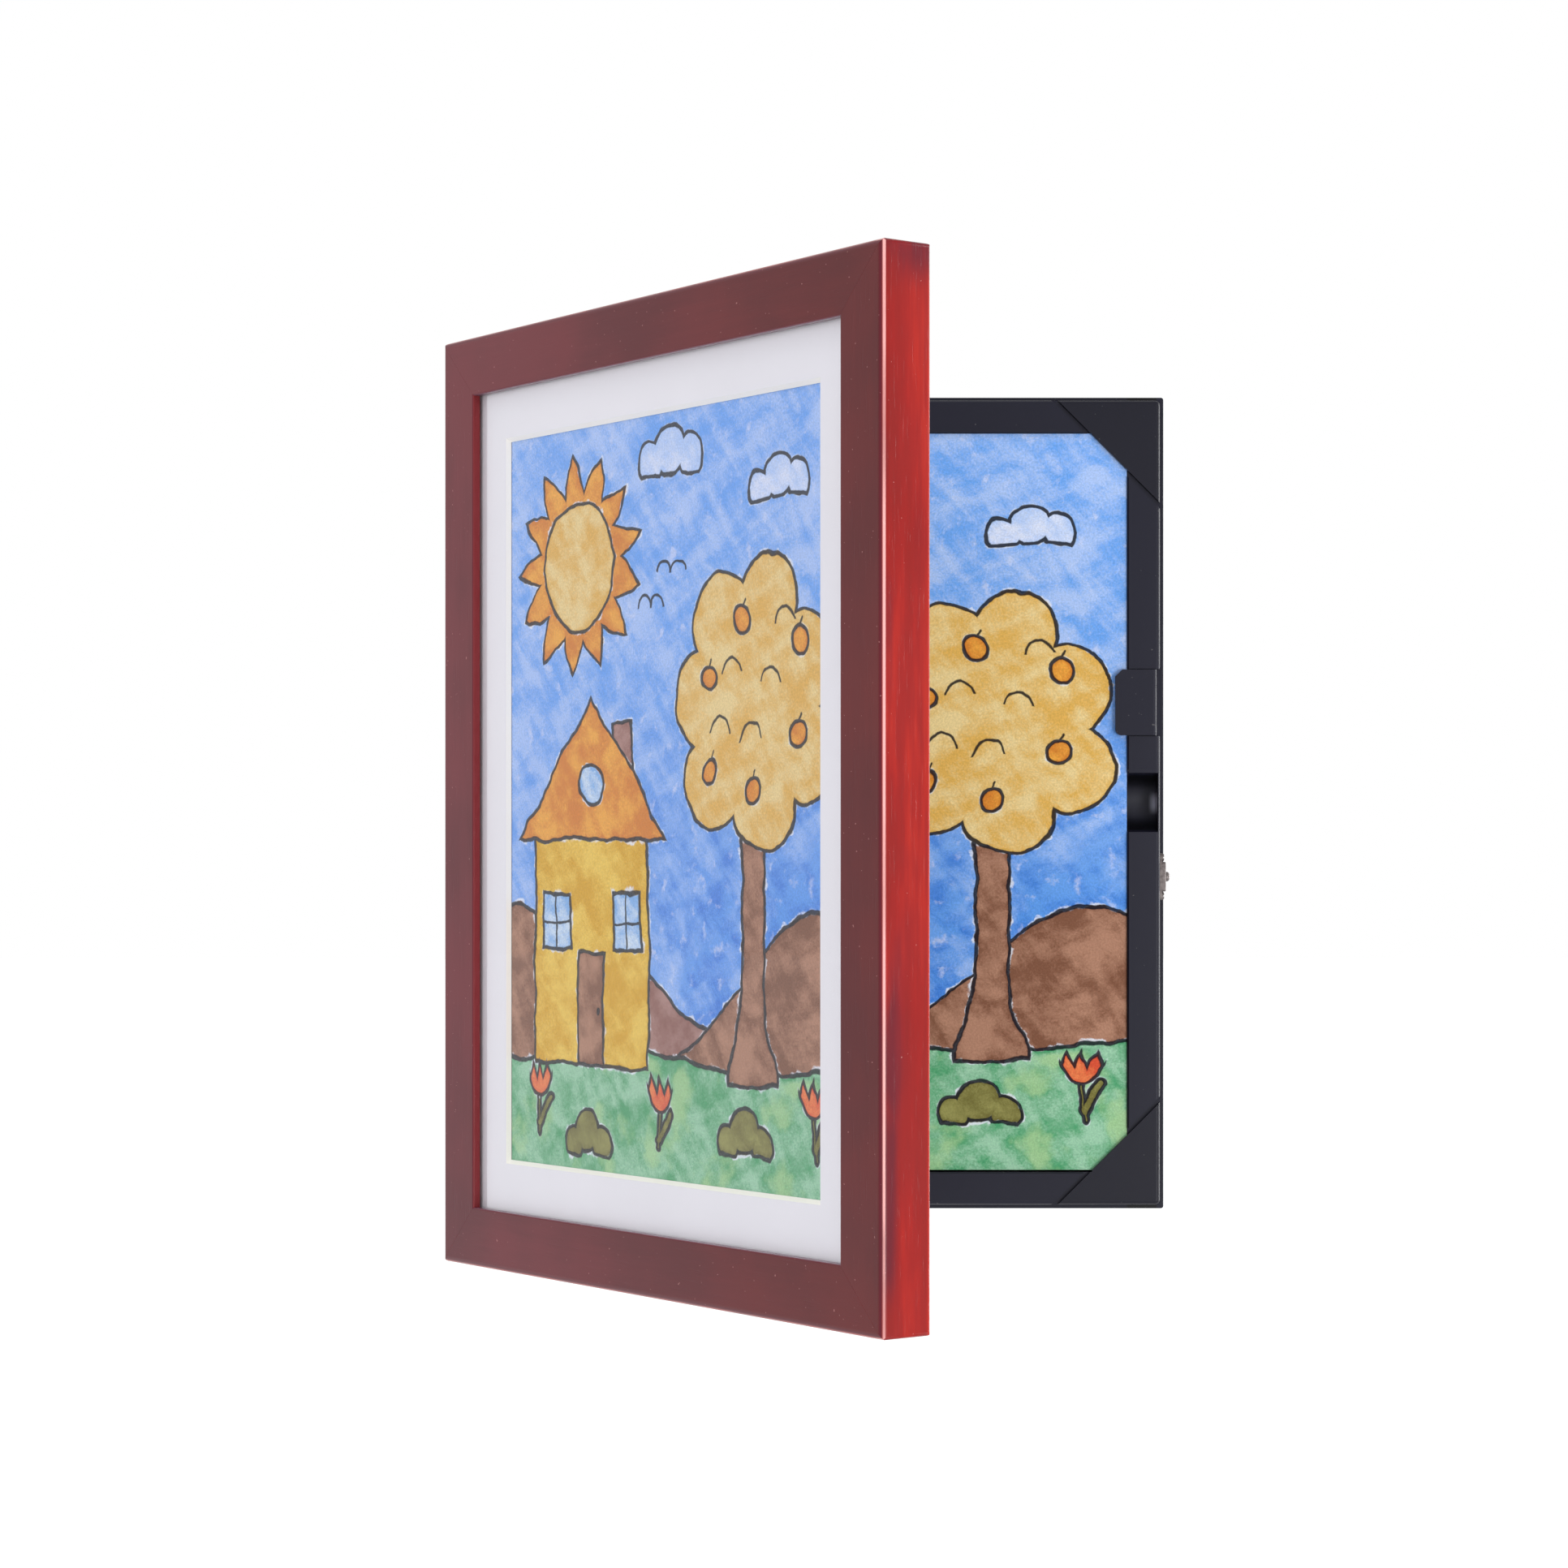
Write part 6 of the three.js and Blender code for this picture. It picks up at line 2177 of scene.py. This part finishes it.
@dataclass(frozen=True)
class Finishes:
    """All the materials, each made once."""

    # Both woods carry painted light and shade by which way a face looks
    stile_wood: Finish = made(StainedWood("cherry stile", Way.Z), Slot.WOOD)
    rail_wood: Finish = made(StainedWood("cherry rail", Way.X), Slot.WOOD)
    # The tray's plastic gets painted light and shade in its thumb notch
    tray_plastic: Finish = made(MouldedPlastic("tray plastic", notch_lit=True), Slot.PLASTIC)
    corner_plastic: Finish = made(MouldedPlastic("corner plastic", (0.0072, 0.0072, 0.0145)), Slot.PLASTIC)
    steel: Finish = made(Metal("nickel steel", (0.55, 0.54, 0.52), (0.36, 0.34, 0.32)), Slot.PLATED)
    catch_metal: Finish = made(
        Metal("catch metal", (0.165, 0.145, 0.14), (0.09, 0.075, 0.075), 0.45), Slot.PLATED
    )
    spring_steel: Finish = made(Metal("spring wire", (0.3, 0.29, 0.28), (0.18, 0.17, 0.16), 0.3), Slot.SPRING)
    mat_face: Finish = made(Card("mat face", (0.825, 0.815, 0.845)), Slot.CARD)
    mat_core: Finish = made(Card("mat core", (1.0, 0.955, 0.87)), Slot.CARD)
    paper: Finish = made(Paper("plain paper"), Slot.PAPER)
    hardboard: Finish = made(Hardboard("hardboard"), Slot.BOARD)
    glazing: Finish = made(Glazing("clear acrylic"), Slot.CLEAR)
    framed_print: Finish = made(Painting("framed painting", True), Slot.PRINT)
    stored_print: Finish = made(Painting("stored painting", False), Slot.PRINT)


@dataclass(frozen=True)
class Lamp:
    """A soft lamp, with its power in watts and which looks of a surface it lights."""

    name: str
    place: Place
    size: Span
    power: float
    in_gloss: bool = False
    in_diffuse: bool = True

    def hang(self, aim: Place) -> None:
        """Adds the lamp.

        Args:
            aim: The point that it faces.
        """
        data = bpy.data.lights.new(self.name, "AREA")
        data.shape = "RECTANGLE"
        data.size, data.size_y = self.size
        data.energy = self.power
        lamp = bpy.data.objects.new(self.name, data)
        lamp.location = self.place
        lamp.rotation_euler = (Vector(aim) - Vector(self.place)).to_track_quat("-Z", "Y").to_euler()
        lamp.visible_glossy = self.in_gloss
        lamp.visible_diffuse = self.in_diffuse
        bpy.context.scene.collection.objects.link(lamp)


@dataclass
class Studio:
    """The camera, the lamps, the world and the floor."""

    camera_place: Place = (-21.83 * MM, -1305.06 * MM, -25.27 * MM)
    lens: float = 77.67
    shift_up: float = 0.0542
    floor_level: float = -0.46
    floor_size: float = 30
    floor_glow: float = 0.62
    sensor: float = 36
    ambient: float = 0.62
    aim: Place = (0.02, -0.1, 0)
    lamps: tuple[Lamp, ...] = (
        Lamp("key", (1.25, -1.4, -0.05), (1.2, 1.6), 6.5),
        Lamp("low", (0.88, -1.5, -0.34), (0.45, 0.6), 12.5, in_gloss=True),
        Lamp("back", (1.3, 0.45, 0), (0.5, 1.4), 26, in_gloss=True, in_diffuse=False),
        Lamp("front", (-0.95, -1.55, 0.25), (1.4, 1.6), 6),
        Lamp("left", (-1.7, -0.1, 0.2), (0.4, 0.8), 5),
        Lamp("top", (-0.2, -1.2, 1.8), (1.6, 1.0), 9),
    )

    def camera(self) -> None:
        """Sets the camera where the photograph was taken from."""
        data = bpy.data.cameras.new("camera")
        data.lens = self.lens
        data.sensor_width = self.sensor
        data.shift_y = self.shift_up
        data.clip_start = 0.05
        data.clip_end = 100
        camera = bpy.data.objects.new("camera", data)
        camera.location = self.camera_place
        camera.rotation_euler = (QUARTER, 0, 0)
        bpy.context.scene.collection.objects.link(camera)
        bpy.context.scene.camera = camera

    def seen_share(self, graph: Graph) -> Socket:
        """1 for a ray that shows the background itself, straight or in metal and glass."""
        path = graph.add("LightPath")
        seen = graph.math("ADD", path.outputs["Is Camera Ray"], path.outputs["Is Glossy Ray"], clamp=True)
        return graph.math("ADD", seen, path.outputs["Is Transmission Ray"], clamp=True)

    def world(self) -> None:
        """Makes a world that looks white and lights softly."""
        world = bpy.data.worlds.new("white studio")
        world.use_nodes = True
        graph = Graph(world.node_tree)
        white = graph.add("Background", {"Color": (1.0, 1.0, 1.0), "Strength": 1.0})
        soft = graph.add("Background", {"Color": (0.97, 0.98, 1.0), "Strength": self.ambient})
        shares = {0: self.seen_share(graph), 1: soft.outputs[0], 2: white.outputs[0]}
        both = graph.add("MixShader", shares)
        graph.add("OutputWorld", {0: both.outputs[0]})
        bpy.context.scene.world = world

    def floor(self) -> None:
        """Lays a pale floor below, which looks white and keeps the object's shadow."""
        bpy.ops.mesh.primitive_plane_add(size=self.floor_size, location=(0, 0, self.floor_level))
        floor = bpy.context.object
        floor.name = "floor"
        graph, material = Graph.of_material("pale floor")
        matt = graph.add("BsdfDiffuse", {"Color": (0.8, 0.8, 0.8)})
        glow = graph.add("Emission", {"Color": (1.0, 1.0, 1.0)})
        graph.feed(glow.inputs["Strength"], graph.times(self.seen_share(graph), self.floor_glow))
        both = graph.add("AddShader", {0: matt.outputs[0], 1: glow.outputs[0]})
        graph.add("OutputMaterial", {0: both.outputs[0]})
        floor.data.materials.append(material)

    def build(self) -> None:
        """Sets up all of it."""
        bpy.context.scene.view_settings.view_transform = "Standard"
        self.camera()
        self.world()
        self.floor()
        for lamp in self.lamps:
            lamp.hang(self.aim)


def main() -> None:
    """Builds the studio and every sub-assembly."""
    logging.basicConfig(level=logging.INFO, format="%(name)s %(message)s")
    Studio().build()
    finishes = Finishes()
    parts = (
        DoorFrame(finishes),
        DoorFilling(finishes),
        Tray(finishes),
        Storage(finishes),
        Catch(finishes),
        Hinges(finishes),
        Hangers(finishes),
    )
    for part in parts:
        part.build()
        LOG.info("%s is built", type(part).__name__)


if __name__ == "__main__":
    main()
